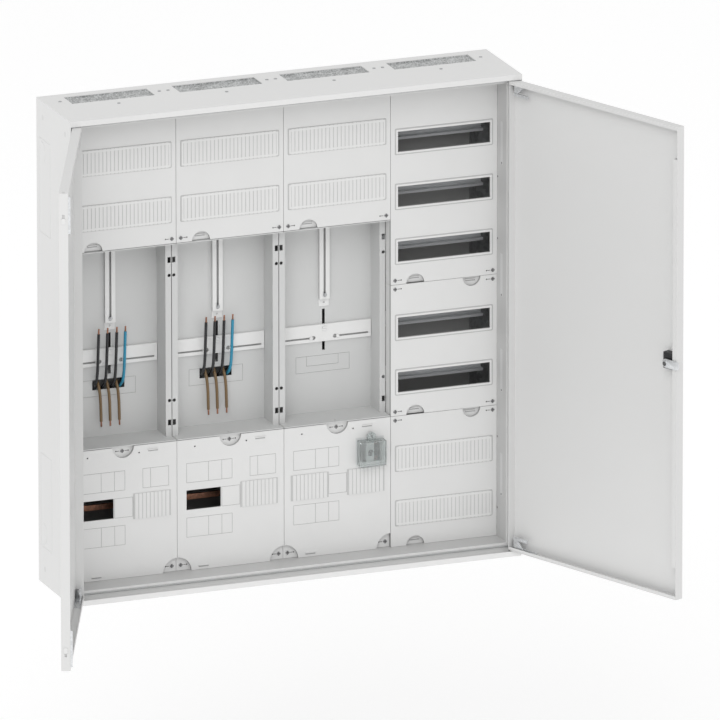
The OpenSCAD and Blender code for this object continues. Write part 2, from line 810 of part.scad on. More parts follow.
module lower_blanking_strips() {
  color("white") {
    for (i = [0 : meters - 1])
      ribbed_strip([line_x(i) + rib_row_x[0] + joint_w, line_x(i) + rib_row_x[1]], in_low + switch_cut_z);
    ribbed_strip([line_x(meters - 1) + rib_low_x[0], line_x(meters - 1) + rib_low_x[1]], in_low + switch_cut_z);
  }
}

// Meter recess ------------------------------------------------------------------------

plate_slot = [468, 562];
square_hole = [7.5, 13];
flange_hole_x = 5.5;
flange_holes = [359, 729];
flange_rounds = [409, 694];

module meter_box(i, open_window) {
  x0 = line_x(i) + joint_w;
  x1 = line_x(i + 1) - joint_w;
  side = flange_w - box_t;
  z0 = lower_top + joint_w;
  z1 = meter_top - joint_w;
  color("gainsboro") difference() {
    union() {
      block([x0 + side, x1 - side], [plate_d - box_t, plate_d], [z0, z1]);
      for (x = [x0 + side, x1 - side - box_t]) block([x, x + box_t], [plate_d - box_t, flange_d], [z0, z1]);
      block([x0, x0 + flange_w], [flange_d - box_t, flange_d], [z0, z1]);
      block([x1 - flange_w, x1], [flange_d - box_t, flange_d], [z0, z1]);
      for (z = [z0, z1 - box_t]) block([x0, x1], [plate_d - box_t, cover_d - slack], [z, z + box_t]);
    }
    block([mid_x(i) - guide_slot / 2, mid_x(i) + guide_slot / 2], [0, plate_d + eps],
          [z_at(plate_slot[0]), z_at(plate_slot[1])]);
    scored([line_x(i) + 60, line_x(i) + 186], [window_top - 38, window_top], plate_d);
    if (open_window)
      block([line_x(i) + window_x, line_x(i) + window_x + window_w], [0, plate_d + eps],
            [window_top - window_h, window_top]);
    else
      scored([line_x(i) + window_x, line_x(i) + window_x + window_w], [window_top - window_h, window_top],
             plate_d);
    for (x = [line_x(i) + flange_hole_x, line_x(i + 1) - flange_hole_x]) {
      for (h = flange_holes) block([x - square_hole[0] / 2, x + square_hole[0] / 2], [flange_d - 4, flange_d + eps],
                                   [z_at(h) - square_hole[1] / 2, z_at(h) + square_hole[1] / 2]);
      for (h = flange_rounds) rod_y(x, z_at(h), square_hole[0] / 2, [flange_d - 4, flange_d + eps]);
    }
    rod_z(mid_x(i), (flange_d + cover_d) / 2, [z0 - eps, z0 + box_t + eps], 2);
  }
}

// Upright carrier: a channel on the back plate with a slot for the meter hook
module upright_rails() {
  color("white") for (i = [0 : meters - 1]) difference() {
    union() {
      block([mid_x(i) - upright_w / 2, mid_x(i) + upright_w / 2],
            [plate_d + upright_t - 2, plate_d + upright_t], [upright_low, meter_top - 3]);
      for (s = [-1, 1]) block([mid_x(i) + s * (upright_w / 2 - 1) - 1, mid_x(i) + s * (upright_w / 2 - 1) + 1],
                              [plate_d, plate_d + upright_t], [upright_low, meter_top - 3]);
      block([mid_x(i) - upright_w / 2, mid_x(i) + upright_w / 2], [plate_d, plate_d + 2],
            [upright_low - 17, upright_low + 4]);
    }
    block([mid_x(i) - 2.5, mid_x(i) + 2.5], [plate_d + 2, plate_d + upright_t + eps],
          [hook_z - 4, meter_top - 20]);
    rod_y(mid_x(i), upright_low - 8, 2.5, [plate_d - eps, plate_d + 3]);
  }
}

// Slot with round ends along the width
module cross_slot(x, z, w, d) {
  block(x, d, [z - w / 2, z + w / 2]);
  for (e = x) rod_y(e, z, w / 2, d);
}

// Cross carrier with two slots, its clamp bolt and two meter screws
module cross_rail(i) {
  front = plate_d + hook_play + cross_t;
  x0 = line_x(i) + flange_w + 2;
  x1 = line_x(i + 1) - flange_w - 2;
  color("white") difference() {
    union() {
      block([x0, x1], [front - 2, front], [cross_z - cross_h / 2, cross_z + cross_h / 2]);
      for (s = [-1, 1]) block([x0, x1], [plate_d + hook_play, front],
                              s < 0 ? [cross_z - cross_h / 2, cross_z - cross_h / 2 + 2]
                                    : [cross_z + cross_h / 2 - 2, cross_z + cross_h / 2]);
    }
    cross_slot([line_x(i) + 24, line_x(i) + 97], cross_slot_z, 4, [plate_d, front + eps]);
    cross_slot([line_x(i + 1) - 97, line_x(i + 1) - 24], cross_slot_z, 4, [plate_d, front + eps]);
    for (x = [line_x(i) + 100, line_x(i + 1) - 100]) rod_y(x, cross_slot_z, 4.6, [plate_d, front + eps]);
    rod_y(mid_x(i), cross_bolt_z, 2.92, [0, front + eps]);
  }
  color("silver") difference() {
    union() {
      rod_y(mid_x(i), cross_bolt_z, 2.9, [plate_d - box_t - 4, front + 1]);
      rod_y(mid_x(i), cross_bolt_z, 5.4, [front + seat, front + 3]);
      rod_y(mid_x(i), cross_bolt_z, 5.4, [plate_d - box_t - 5, plate_d - box_t - hook_play]);
    }
    block([mid_x(i) - 4, mid_x(i) + 4], [front + 1.8, front + 4], [cross_bolt_z - 0.6, cross_bolt_z + 0.6]);
  }
  color("silver") for (x = [line_x(i) + 94, line_x(i + 1) - 94]) {
    rod_y(x, cross_slot_z, 1.95, [front - 3, front + 1]);
    rod_y(x, cross_slot_z, 3.6, [front + seat, front + 2.4]);
    rod_y(x, cross_slot_z, 3.4, [plate_d + hook_play + 0.4, front - 2 - seat]);
  }
}

// Meter hook: a slide block in the upright channel with a hooked stud in front
module meter_hook(i) {
  front = plate_d + upright_t;
  color("silver") {
    block([mid_x(i) - 5, mid_x(i) + 5], [front - 4.6, front - 2 - hook_play], [hook_z - 3, hook_z + 6]);
    rod_y(mid_x(i), hook_z + 1.5, 2.4, [front - 2 - hook_play, front + 4]);
    rod_y(mid_x(i), hook_z + 1.5, 4.2, [front + hook_play, front + 2.4]);
    block([mid_x(i) - 1.5, mid_x(i) + 1.5], [front + 3, front + 5], [hook_z + 1.5, hook_z + 6]);
  }
}

// Busbars and the switch -----------------------------------------------------------------

module busbars() {
  color("peru") for (n = [0 : bars - 1])
    block([line_x(0) + 10, line_x(meters) - 10], [bar_d - bar_t, bar_d],
          [bar_low + n * bar_pitch - bar_w / 2, bar_low + n * bar_pitch + bar_w / 2]);
}

module busbar_holders() {
  top = bar_low + (bars - 1) * bar_pitch + 16;
  color("dimgrey") for (i = [0 : meters]) translate([line_x(i) + (i == 0 ? 14 : i == meters ? -14 : 0), 0, 0])
    difference() {
      block([-9, 9], [rail_d, bar_d], [bar_low - 16, top]);
      for (n = [0 : bars - 1])
        block([-10, 10], [bar_d - bar_t, bar_d + eps],
              [bar_low + n * bar_pitch - bar_w / 2, bar_low + n * bar_pitch + bar_w / 2]);
    }
}

toggle_r = 7;
toggle_pin_r = 1.5;
nose_d = cover_d + 6;

module switch_body() {
  x = line_x(meters - 1) + switch_x;
  color("gainsboro") difference() {
    union() {
      block([x - module_w / 2, x + module_w / 2], [bar_d, cover_d - 12], [switch_z - 42.5, switch_z + 42.5]);
      block([x - module_w / 2, x + module_w / 2], [bar_d, nose_d], [switch_z - 22, switch_z + 22]);
    }
    rod_x([x - 4, x + 4], nose_d - 3, switch_z - 3, toggle_r + slack);
    rod_x([x - module_w / 2 + 0.8, x + module_w / 2 - 0.8], nose_d - 3, switch_z - 3, toggle_pin_r + 0.05);
  }
}

module switch_toggle() {
  x = line_x(meters - 1) + switch_x;
  color("dimgrey") {
    rod_x([x - 3.6, x + 3.6], nose_d - 3, switch_z - 3, toggle_r);
    translate([x, -(nose_d - 3), switch_z - 3]) rotate([-35, 0, 0]) slab([-3.6, 3.6], [-13, 0], [-2.5, 2.5]);
    rod_x([x - module_w / 2 + 1, x + module_w / 2 - 1], nose_d - 3, switch_z - 3, toggle_pin_r);
  }
}

flap_back = cover_d + 1.6;

// Collar and rear seal ear on the cover
module flap_frame() {
  x = [line_x(meters - 1) + flap_x[0], line_x(meters - 1) + flap_x[1]];
  in = flap_t + flap_gap;
  ear_x = (x[0] + x[1]) / 2;
  ear_z0 = flap_z[1] + ear_r - 1;
  color("gainsboro") difference() {
    union() {
      block([x[0] - 3, x[1] + 3], [cover_d, cover_d + 0.8], [flap_z[0] - 5, flap_z[1] + 5]);
      block([x[0] + in, x[1] - in], [cover_d, cover_d + 7], [flap_z[0] + in + 1, flap_z[1] - in]);
      block([ear_x - 4, ear_x + 4], [cover_d, cover_d + 8], [flap_z[1] + 0.6, flap_z[1] + 5]);
      rod_y(ear_x, ear_z0, ear_r - 1, [cover_d + 5, cover_d + 8]);
      for (s = [x[0] + in, x[1] - in - 2])
        block([s, s + 2], [cover_d, cover_d + 7], [flap_axis_z - 2, flap_axis_z + 6]);
      for (s = [[x[0] + 0.4, x[0] + in + 1], [x[1] - in - 1, x[1] - 0.4]])
        rod_x(s, flap_axis_d, flap_axis_z, flap_pin_r);
    }
    block([x[0] + in + 1.6, x[1] - in - 1.6], [cover_d - eps, cover_d + 12],
          [flap_z[0] + in + 2.6, flap_z[1] - in - 1.6]);
    block(x, [cover_d + 1, cover_d + 12], [flap_z[1] - in + 0.1, flap_z[1] + 0.6]);
    rod_y(ear_x, ear_z0, ear_hole, [cover_d, cover_d + 12]);
  }
}

// Clear hood over the switch, open at the back, turning on its lower edge
module sealing_flap() {
  x = [line_x(meters - 1) + flap_x[0], line_x(meters - 1) + flap_x[1]];
  ear_x = (x[0] + x[1]) / 2;
  ear_z0 = flap_z[1] + ear_r - 1;
  front = cover_d + flap_deep;
  color("lightblue", 0.5) difference() {
    union() {
      difference() {
        block(x, [flap_back, front], flap_z);
        block([x[0] + flap_t, x[1] - flap_t], [flap_back - eps, front - flap_t],
              [flap_z[0] + flap_t, flap_z[1] - flap_t]);
        block([x[0] + flap_t, x[1] - flap_t], [flap_back - eps, flap_axis_d + 3.4],
              [flap_z[0] - eps, flap_z[0] + flap_t + eps]);
        rod_x([x[0] - eps, x[1] + eps], flap_axis_d, flap_axis_z, flap_pin_r + 0.05);
      }
      rod_y(ear_x, ear_z0, ear_r, [cover_d + 9, cover_d + 9 + ear_t]);
    }
    rod_y(ear_x, ear_z0, ear_hole, [cover_d, cover_d + 20]);
    block([ear_x - ear_r, ear_x + ear_r], [flap_back, cover_d + 13],
          [flap_z[1] - ear_r, flap_z[1] - flap_t]);
  }
}

// Leads ---------------------------------------------------------------------------------------

// True point of a route for a lead at x in the field, leaning by lean
function route_point(p, x, lean) = [x + p[0] * lean, -p[1], z_at(p[2])];

// Every second point of a route, and always its last
function thin(r) = [for (n = [0 : ring_step : len(r) - 1]) r[n]];

function unit(v) = v / norm(v);

// Direction of the path at point n
function heading(p, n) = unit(p[min(n + 1, len(p) - 1)] - p[max(n - 1, 0)]);

// Tube of ring_sides flats swept along the points p
module sweep_tube(p, r) {
  side = [1, 0, 0];
  rings = [for (n = [0 : len(p) - 1]) let (t = heading(p, n), u = unit(side - (side * t) * t), v = cross(t, u))
    for (k = [0 : ring_sides - 1]) p[n] + r * cos(k * 360 / ring_sides) * u + r * sin(k * 360 / ring_sides) * v];
  last = len(p) - 1;
  walls = [for (n = [0 : last - 1], k = [0 : ring_sides - 1]) let (m = (k + 1) % ring_sides)
    [n * ring_sides + k, (n + 1) * ring_sides + k, (n + 1) * ring_sides + m, n * ring_sides + m]];
  foot = [for (k = [0 : ring_sides - 1]) k];
  head = [for (k = [ring_sides - 1 : -1 : 0]) last * ring_sides + k];
  polyhedron(points = rings, faces = concat([foot], walls, [head]));
}

module lead(route, x, lean) {
  sweep_tube([for (p = thin(route)) route_point(p, x, lean)], lead_dia / 2);
}

// Bare copper end of a lead
module tip(route, x, lean) {
  p = [for (q = route) route_point(q, x, lean)];
  t = unit(p[len(p) - 1] - p[len(p) - 3]);
  translate(p[len(p) - 1]) rotate([0, acos(t[2]), atan2(t[1], t[0])]) cylinder(r = tip_dia / 2, h = tip_l);
}

module black_leads() {
  color("black") for (i = [0, 1], x = black_x) lead(up_route, line_x(i) + x, lead_lean);
}

module blue_leads() {
  color("steelblue") for (i = [0, 1]) lead(up_route, line_x(i) + blue_x, lead_lean);
}

module brown_leads() {
  color("saddlebrown") for (i = [0, 1], x = brown_x) lead(down_route, line_x(i) + x, lead_bow);
}

module lead_tips() {
  color("chocolate") for (i = [0, 1]) {
    for (x = concat(black_x, [blue_x])) tip(up_route, line_x(i) + x, lead_lean);
    for (x = brown_x) tip(down_route, line_x(i) + x, lead_bow);
  }
}

// Blocks behind the back plate that hold the roots of the leads
module lead_clamps() {
  color("dimgrey") for (i = [0, 1], h = [[388, 399.4], [484.6, 496]])
    block([line_x(i) + 80, line_x(i) + window_x + window_w + 2], [14, rail_d], [z_at(h[0]), z_at(h[1])]);
}

back_panel();
top_panel();
bottom_panel();
left_side_panel();
right_side_panel();
front_frame();
flange_plates();
flange_screws();
side_plugs();
door_seal();
hinge_brackets();
hinge_pins();
support_rails();
din_rails();
cover_posts();
meter_box(0, true);  // meter_box_1
meter_box(1, true);  // meter_box_2
meter_box(2, false);  // meter_box_3
upright_rails();
upper_cover(0);  // upper_cover_1
upper_cover(1);  // upper_cover_2
upper_cover(2);  // upper_cover_3
upper_blanking_strips();
lower_cover(0, false);  // lower_cover_1
lower_cover(1, false);  // lower_cover_2
lower_cover(2, true);  // lower_cover_3
lower_blanking_strips();
distribution_cover([dist_mid_top, in_top], false, dist_rows_high);  // distribution_cover_upper
distribution_cover([lower_top, dist_mid_top], true, dist_rows_mid);  // distribution_cover_middle
distribution_cover([in_low, lower_top], true, dist_rows_low);  // distribution_cover_lower
device_bezels();
distribution_blanking_strips();
cover_fasteners();
busbars();
busbar_holders();
switch_body();
flap_frame();
lead_clamps();
black_leads();
blue_leads();
brown_leads();
lead_tips();
switch_toggle();
sealing_flap();
cross_rail(0);  // cross_rail_1
cross_rail(1);  // cross_rail_2
cross_rail(2);  // cross_rail_3
meter_hook(0);  // meter_hook_1
meter_hook(1);  // meter_hook_2
meter_hook(2);  // meter_hook_3
left_door();
left_door_fittings();
upper_bolt();
lower_bolt();
right_door();
right_hinge_plates();
closing_strip();
lock_body();
lock_cam();
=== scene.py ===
import json
import math

import bmesh
import bpy
from bpy.props import FloatProperty, FloatVectorProperty, IntProperty, PointerProperty
from mathutils import Matrix, Vector


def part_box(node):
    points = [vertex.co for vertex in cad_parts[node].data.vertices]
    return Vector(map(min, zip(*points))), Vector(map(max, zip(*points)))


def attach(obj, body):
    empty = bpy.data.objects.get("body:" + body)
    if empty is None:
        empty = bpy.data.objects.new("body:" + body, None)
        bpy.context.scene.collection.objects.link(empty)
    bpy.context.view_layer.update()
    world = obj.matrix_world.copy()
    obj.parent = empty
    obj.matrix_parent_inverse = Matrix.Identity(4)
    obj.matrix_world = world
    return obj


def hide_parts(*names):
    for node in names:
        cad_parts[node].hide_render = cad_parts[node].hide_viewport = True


bl_info = {
    "name": "Meter Cabinet Finisher",
    "version": (1, 0),
    "blender": (4, 5, 0),
    "location": "View3D > Sidebar > Cabinet",
    "description": "Finishes, stiff leads and fine detail for a wall-mounted meter cabinet",
    "category": "Object",
}

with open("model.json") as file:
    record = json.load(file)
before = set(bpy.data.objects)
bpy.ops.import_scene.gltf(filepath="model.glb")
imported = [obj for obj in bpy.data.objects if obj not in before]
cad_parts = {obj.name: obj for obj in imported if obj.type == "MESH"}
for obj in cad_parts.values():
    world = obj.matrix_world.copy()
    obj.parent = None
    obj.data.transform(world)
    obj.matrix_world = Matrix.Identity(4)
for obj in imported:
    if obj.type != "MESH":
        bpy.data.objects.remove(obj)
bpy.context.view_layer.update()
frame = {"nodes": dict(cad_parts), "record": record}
NODES = frame["nodes"]
MM = 0.001

# The cabinet's grid, read from the frame
CASE_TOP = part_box("back_panel")[1][2]
JOINT = 0.4 * MM
FIELD_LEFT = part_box("upper_cover_1")[0][0] - JOINT
FIELD_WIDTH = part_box("upper_cover_2")[0][0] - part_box("upper_cover_1")[0][0]
FIELDS = 4
COVER_FACE = -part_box("lower_cover_1")[0][1]
FIELD_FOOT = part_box("lower_cover_1")[0][2] - JOINT
LOWER_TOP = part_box("lower_cover_1")[1][2] + JOINT
METER_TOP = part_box("upper_cover_1")[0][2] - JOINT
FIELD_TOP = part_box("upper_cover_1")[1][2] + JOINT
MIDDLE_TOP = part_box("distribution_cover_middle")[1][2] + JOINT
PLATE_FACE = 45 * MM
CASE_FOOT = -0.55
POCKET = 8 * MM
BLANK_ROWS = (427 * MM, 302 * MM)
UPPER_ROWS = (400.5 * MM, 275.5 * MM, 150.5 * MM)
DEVICE_ROWS = (-23 * MM, -148 * MM)
LOWER_ROWS = (-323 * MM, -448 * MM)

CASING = ("top_panel", "bottom_panel", "left_side_panel", "right_side_panel")
HINGE_PARTS = ("hinge_brackets", "right_hinge_plates", "left_door_fittings")
DOOR_STEEL = ("left_door", "right_door", "closing_strip")
COVERS = (
    "upper_cover_1", "upper_cover_2", "upper_cover_3",
    "lower_cover_1", "lower_cover_2", "lower_cover_3",
    "distribution_cover_upper", "distribution_cover_middle", "distribution_cover_lower",
)
STRIPS = ("upper_blanking_strips", "lower_blanking_strips", "distribution_blanking_strips")
BOXES = ("meter_box_1", "meter_box_2", "meter_box_3")
CROSS_RAILS = ("cross_rail_1", "cross_rail_2", "cross_rail_3")

# Leads: places across a field, and a route for each direction.
# Each route point: share of the lean, depth from the wall, height above the foot
BLACK_PLACES = (89 * MM, 109.5 * MM, 131 * MM)
BLUE_PLACE = 151 * MM
BROWN_PLACES = (97 * MM, 118 * MM, 139.5 * MM)
TIP_OVERLAP = 0.001
LEAN_UP = 5 * MM
LEAN_DOWN = 3 * MM
UP_ROUTE = (
    (0, 27, 400), (0, 27, 408), (0, 28, 416), (0.03, 30, 424), (0.07, 34.5, 432),
    (0.12, 40, 438.5), (0.17, 46.5, 443.5), (0.22, 53, 450), (0.27, 58, 459), (0.33, 61, 470),
    (0.42, 62.5, 483), (0.53, 63, 499), (0.66, 63, 518), (0.82, 63, 541), (1, 63, 566),
)
DOWN_ROUTE = (
    (0, 27, 484), (0, 27, 477), (0, 28, 470), (0.05, 31.5, 463), (0.1, 36.5, 457),
    (0.17, 43, 451.5), (0.24, 49, 445.5), (0.32, 54, 437), (0.42, 57.5, 427), (0.52, 59, 417),
    (0.62, 60, 407), (0.72, 60, 397), (0.82, 60, 387), (0.91, 60, 377), (1, 60, 366),
)

# Floor, key lamp and distant camera, in metres; the camera's turns are in degrees
FLOOR_HALF = 90.0
KEY_PLACE = (-3.2, -6.8, 6.2)
KEY_SIZE = 5.0
KEY_TARGET = (0, -0.2, 0)
CAMERA_PLACE = (-14.6289, -38.6797, 12.3916)
CAMERA_TURNS = (("Z", -21.012), ("X", 90 - 16.8139), ("Z", -0.0395))


def field_x(number, across=0.0):
    """Place across the cabinet, counted from a field's left dividing line."""
    return FIELD_LEFT + number * FIELD_WIDTH + across


# ---------------------------------------------------------------- settings


class FinishSettings(bpy.types.PropertyGroup):
    """Colours and grain of the steel, plastic and metal."""

    steel: FloatVectorProperty(
        name="Powder coat", description="Colour of the coated sheet steel",
        subtype="COLOR", size=3, min=0, max=1, default=(0.74, 0.74, 0.735),
    )
    plastic: FloatVectorProperty(
        name="Covers", description="Colour of the moulded covers",
        subtype="COLOR", size=3, min=0, max=1, default=(0.72, 0.72, 0.715),
    )
    plate: FloatVectorProperty(
        name="Meter plates", description="Colour of the meter boxes",
        subtype="COLOR", size=3, min=0, max=1, default=(0.60, 0.604, 0.60),
    )
    zinc: FloatVectorProperty(
        name="Zinc", description="Colour of galvanised sheet",
        subtype="COLOR", size=3, min=0, max=1, default=(0.60, 0.61, 0.62),
    )
    copper: FloatVectorProperty(
        name="Copper", description="Colour of bare copper",
        subtype="COLOR", size=3, min=0, max=1, default=(0.42, 0.21, 0.14),
    )
    # mark also colours the holes in the rim, as painted shade
    mark: FloatVectorProperty(
        name="Marks", description="Colour of the small moulded marks",
        subtype="COLOR", size=3, min=0, max=1, default=(0.09, 0.09, 0.09),
    )
    peel: FloatProperty(
        name="Orange peel", description="Size of one ripple in the powder coat",
        unit="LENGTH", min=0.0005, max=0.01, default=0.0018,
    )
    grain: FloatProperty(
        name="Mould grain", description="Size of one grain on the plastic",
        unit="LENGTH", min=0.0003, max=0.005, default=0.0009,
    )
    spangle: FloatProperty(
        name="Spangle", description="Size of one crystal of the zinc",
        unit="LENGTH", min=0.001, max=0.03, default=0.007,
    )


class LeadSettings(bpy.types.PropertyGroup):
    """Sizes and colours of the stiff leads."""

    diameter: FloatProperty(
        name="Diameter", description="Over the insulation",
        unit="LENGTH", min=0.003, max=0.012, default=0.0065,
    )
    tip_diameter: FloatProperty(
        name="Tip diameter", description="Over the bare strands",
        unit="LENGTH", min=0.002, max=0.008, default=0.004,
    )
    tip_length: FloatProperty(
        name="Tip length", description="Length of bare copper",
        unit="LENGTH", min=0.004, max=0.03, default=0.013,
    )
    strands: IntProperty(
        name="Strands", description="Outer strands of a tip", min=4, max=12, default=6,
    )
    black: FloatVectorProperty(
        name="Black", description="Colour of the phase leads that point up",
        subtype="COLOR", size=3, min=0, max=1, default=(0.012, 0.012, 0.014),
    )
    blue: FloatVectorProperty(
        name="Blue", description="Colour of the neutral lead",
        subtype="COLOR", size=3, min=0, max=1, default=(0.02, 0.24, 0.38),
    )
    brown: FloatVectorProperty(
        name="Brown", description="Colour of the leads that point down",
        subtype="COLOR", size=3, min=0, max=1, default=(0.17, 0.105, 0.045),
    )


class DetailSettings(bpy.types.PropertyGroup):
    """Sizes of the small repeated details."""

    dash: FloatProperty(
        name="Dash", description="Length of a dash beside a fastener",
        unit="LENGTH", min=0.001, max=0.01, default=0.006,
    )
    dot: FloatProperty(
        name="Dot", description="Diameter of a dot beside a fastener",
        unit="LENGTH", min=0.0005, max=0.005, default=0.0032,
    )
    slot_width: FloatProperty(
        name="Slot width", description="Width of a pressed slot in the rim",
        unit="LENGTH", min=0.002, max=0.02, default=0.013,
    )
    knockout: FloatProperty(
        name="Knock-out", description="Outer radius of a cable knock-out",
        unit="LENGTH", min=0.004, max=0.014, default=0.0105,
    )
    lip_width: FloatProperty(
        name="Lip width", description="Width of a finger lip",
        unit="LENGTH", min=0.01, max=0.04, default=0.023,
    )
    lip_reach: FloatProperty(
        name="Lip reach", description="How far a finger lip stands out",
        unit="LENGTH", min=0.001, max=0.006, default=0.003,
    )
    seal_bead: FloatProperty(
        name="Seal bead", description="Height of the foam seal",
        unit="LENGTH", min=0.002, max=0.008, default=0.0038,
    )


class StageSettings(bpy.types.PropertyGroup):
    """Floor, light and camera."""

    floor_drop: FloatProperty(
        name="Floor below", description="From the cabinet's foot down to the floor",
        unit="LENGTH", min=0.1, max=3, default=0.8,
    )
    sky: FloatProperty(
        name="Sky", description="Strength of the even light", min=0, max=5, default=0.80,
    )
    key: FloatProperty(
        name="Key light", description="Power of the large lamp at the left",
        unit="POWER", min=0, max=20000, default=230,
    )
    lens: FloatProperty(
        name="Lens", description="Focal length of the distant camera in millimetres",
        min=20, max=5000, default=985.85,
    )


# ---------------------------------------------------------------- node helpers


class Wire:
    """An output socket; arithmetic on it adds Math nodes to its tree."""

    def __init__(self, tree, socket):
        self.tree = tree
        self.socket = socket

    def maths(self, operation, first, second):
        node = self.tree.nodes.new("ShaderNodeMath")
        node.operation = operation
        for place, value in enumerate((first, second)):
            if isinstance(value, Wire):
                self.tree.links.new(value.socket, node.inputs[place])
            else:
                node.inputs[place].default_value = value
        return Wire(self.tree, node.outputs[0])

    def __add__(self, other):
        return self.maths("ADD", self, other)

    __radd__ = __add__

    def __mul__(self, other):
        return self.maths("MULTIPLY", self, other)

    __rmul__ = __mul__

    def __sub__(self, other):
        return self.maths("SUBTRACT", self, other)

    def __rsub__(self, other):
        return self.maths("SUBTRACT", other, self)

    def smooth(self, low, high):
        """0 below low, 1 above high and a soft step between them."""
        node = self.tree.nodes.new("ShaderNodeMapRange")
        node.interpolation_type = "SMOOTHSTEP"
        self.tree.links.new(self.socket, node.inputs["Value"])
        node.inputs["From Min"].default_value = low
        node.inputs["From Max"].default_value = high
        return Wire(self.tree, node.outputs[0])


class Finish:
    """A material under construction."""

    def __init__(self, name):
        self.material = bpy.data.materials.new("finish_" + name)
        self.material.use_nodes = True
        self.tree = self.material.node_tree
        self.tree.nodes.clear()
        self.place = self.node("TexCoord", out="Object")

    def node(self, kind, settings=None, sockets=None, out=0):
        """Any node: its settings first, then the values or links of its sockets."""
        made = self.tree.nodes.new("ShaderNode" + kind)
        for key, value in (settings or {}).items():
            if key == "stops":
                ramp = made.color_ramp
                while len(ramp.elements) < len(value):
                    ramp.elements.new(1.0)
                for element, (spot, colour) in zip(ramp.elements, value):
                    element.position = spot
                    element.color = (*colour, 1)
            else:
                setattr(made, key, value)
        for key, value in (sockets or {}).items():
            target = made.inputs[key]
            if isinstance(value, Wire):
                self.tree.links.new(value.socket, target)
            else:
                target.default_value = value
        return Wire(self.tree, made.outputs[out]) if len(made.outputs) else None

    def noise(self, size, detail=2.0, vector=None):
        """Noise whose ripples are about size metres wide."""
        sockets = {"Vector": vector or self.place, "Scale": 1 / size, "Detail": detail}
        return self.node("TexNoise", sockets=sockets)

    def mix(self, share, low, high):
        """Colour between low and high."""
        made = self.tree.nodes.new("ShaderNodeMix")
        made.data_type = "RGBA"
        for key, value in (("Factor_Float", share), ("A_Color", low), ("B_Color", high)):
            target = next(s for s in made.inputs if s.identifier == key)
            if isinstance(value, Wire):
                self.tree.links.new(value.socket, target)
            elif key == "Factor_Float":
                target.default_value = value
            else:
                target.default_value = (*value, 1)
        made_out = next(s for s in made.outputs if s.identifier == "Result_Color")
        return Wire(self.tree, made_out)

    def relief(self, height, depth, strength):
        """Bump of that depth in metres."""
        sockets = {"Height": height, "Distance": depth, "Strength": strength}
        return self.node("Bump", sockets=sockets)

    def close(self, colour, rough, normal=None, metal=0.0, **fixed):
        """Ends the material in a Principled shader; fixed holds its constants."""
        sockets = {"Base Color": colour, "Roughness": rough, "Metallic": metal}
        if normal:
            sockets["Normal"] = normal
        sockets.update({key.replace("_", " "): value for key, value in fixed.items()})
        shader = self.node("BsdfPrincipled", sockets=sockets)
        self.node("OutputMaterial", sockets={"Surface": shader})
        return self.material


def shade(colour, share):
    """A colour made darker or lighter."""
    return tuple(min(1.0, c * share) for c in colour)


# ---------------------------------------------------------------- finishes


def powder_coat(name, colour, peel):
    """Baked powder coat: low ripples, small spread in tone and gloss."""
    f = Finish(name)
    ripples = f.noise(peel, 1.0)
    broad = f.noise(0.35, 1.0)
    specks = f.noise(0.0007, 0.0)
    tone = f.mix(broad, shade(colour, 0.975), shade(colour, 1.02))
    tone = f.mix(specks.smooth(0.72, 0.8) * 0.25, tone, shade(colour, 0.82))
    normal = f.relief(ripples, 0.00012, 0.35)
    return f.close(tone, 0.38 + 0.1 * ripples, normal, Specular_IOR_Level=0.45, Coat_Weight=0.06)


def moulded(name, colour, grain, gloss=0.5):
    """Moulded plastic with a fine eroded grain and faint flow marks."""
    f = Finish(name)
    pits = f.noise(grain, 3.0)
    stretched = f.node("Mapping", sockets={"Vector": f.place, "Scale": (1.0, 1.0, 0.25)})
    flow = f.noise(0.09, 2.0, stretched)
    tone = f.mix(flow, shade(colour, 0.97), shade(colour, 1.02))
    normal = f.relief(pits, 0.00006, 0.4)
    return f.close(tone, gloss + 0.12 * pits, normal, Specular_IOR_Level=0.4)


def painted_depth_shade(name, colour, grain, face, depth, painted_shade_factor, floor=None):
    """Moulded plastic with painted shade: surfaces lying behind a face are painted darker, as shade
    in grooves, steps and recess walls, back to the light tone on a pocket floor.
    """
    f = Finish(name)
    pits = f.noise(grain, 3.0)
    flow = f.noise(0.09, 2.0)
    spot = f.node("SeparateXYZ", sockets={"Vector": f.place}, out="Y")
    # sunk: 0 on the face and 1 just behind it; the tone below paints shade there
    sunk = (spot + face).smooth(0.0001, depth)
    if floor:
        sunk = sunk - (spot + face).smooth(floor * 0.9, floor * 0.99)
    tone = f.mix(flow, shade(colour, 0.97), shade(colour, 1.02))
    tone = f.mix(sunk * (0.85 + 0.3 * pits), tone, shade(colour, painted_shade_factor))
    normal = f.relief(pits, 0.00006, 0.4)
    return f.close(tone, 0.5 + 0.12 * pits, normal, Specular_IOR_Level=0.4)


def galvanised(name, colour, spangle, darker=0.75):
    """Hot-dip zinc: crystals of differing tone under fine draw lines."""
    f = Finish(name)
    sockets = {"Vector": f.place, "Scale": 1 / spangle, "Randomness": 1.0}
    cells = f.node("TexVoronoi", sockets=sockets, out="Color")
    crystal = f.node("SeparateColor", sockets={"Color": cells}, out=0)
    drawn = f.node("Mapping", sockets={"Vector": f.place, "Scale": (0.02, 1.0, 1.0)})
    lines = f.noise(0.0006, 2.0, drawn)
    tone = f.mix(crystal, shade(colour, darker), shade(colour, 1.12))
    rough = 0.3 + 0.16 * crystal + 0.1 * lines
    return f.close(tone, rough, f.relief(lines, 0.00004, 0.3), 0.85)


def zinc_plated(name, colour):
    """Small turned parts: plated, with fine rings and handling marks."""
    f = Finish(name)
    rings = f.noise(0.0005, 2.0)
    patches = f.noise(0.004, 3.0)
    tone = f.mix(patches, shade(colour, 0.7), shade(colour, 1.15))
    return f.close(tone, 0.28 + 0.22 * rings, f.relief(rings, 0.00005, 0.4), 0.9)


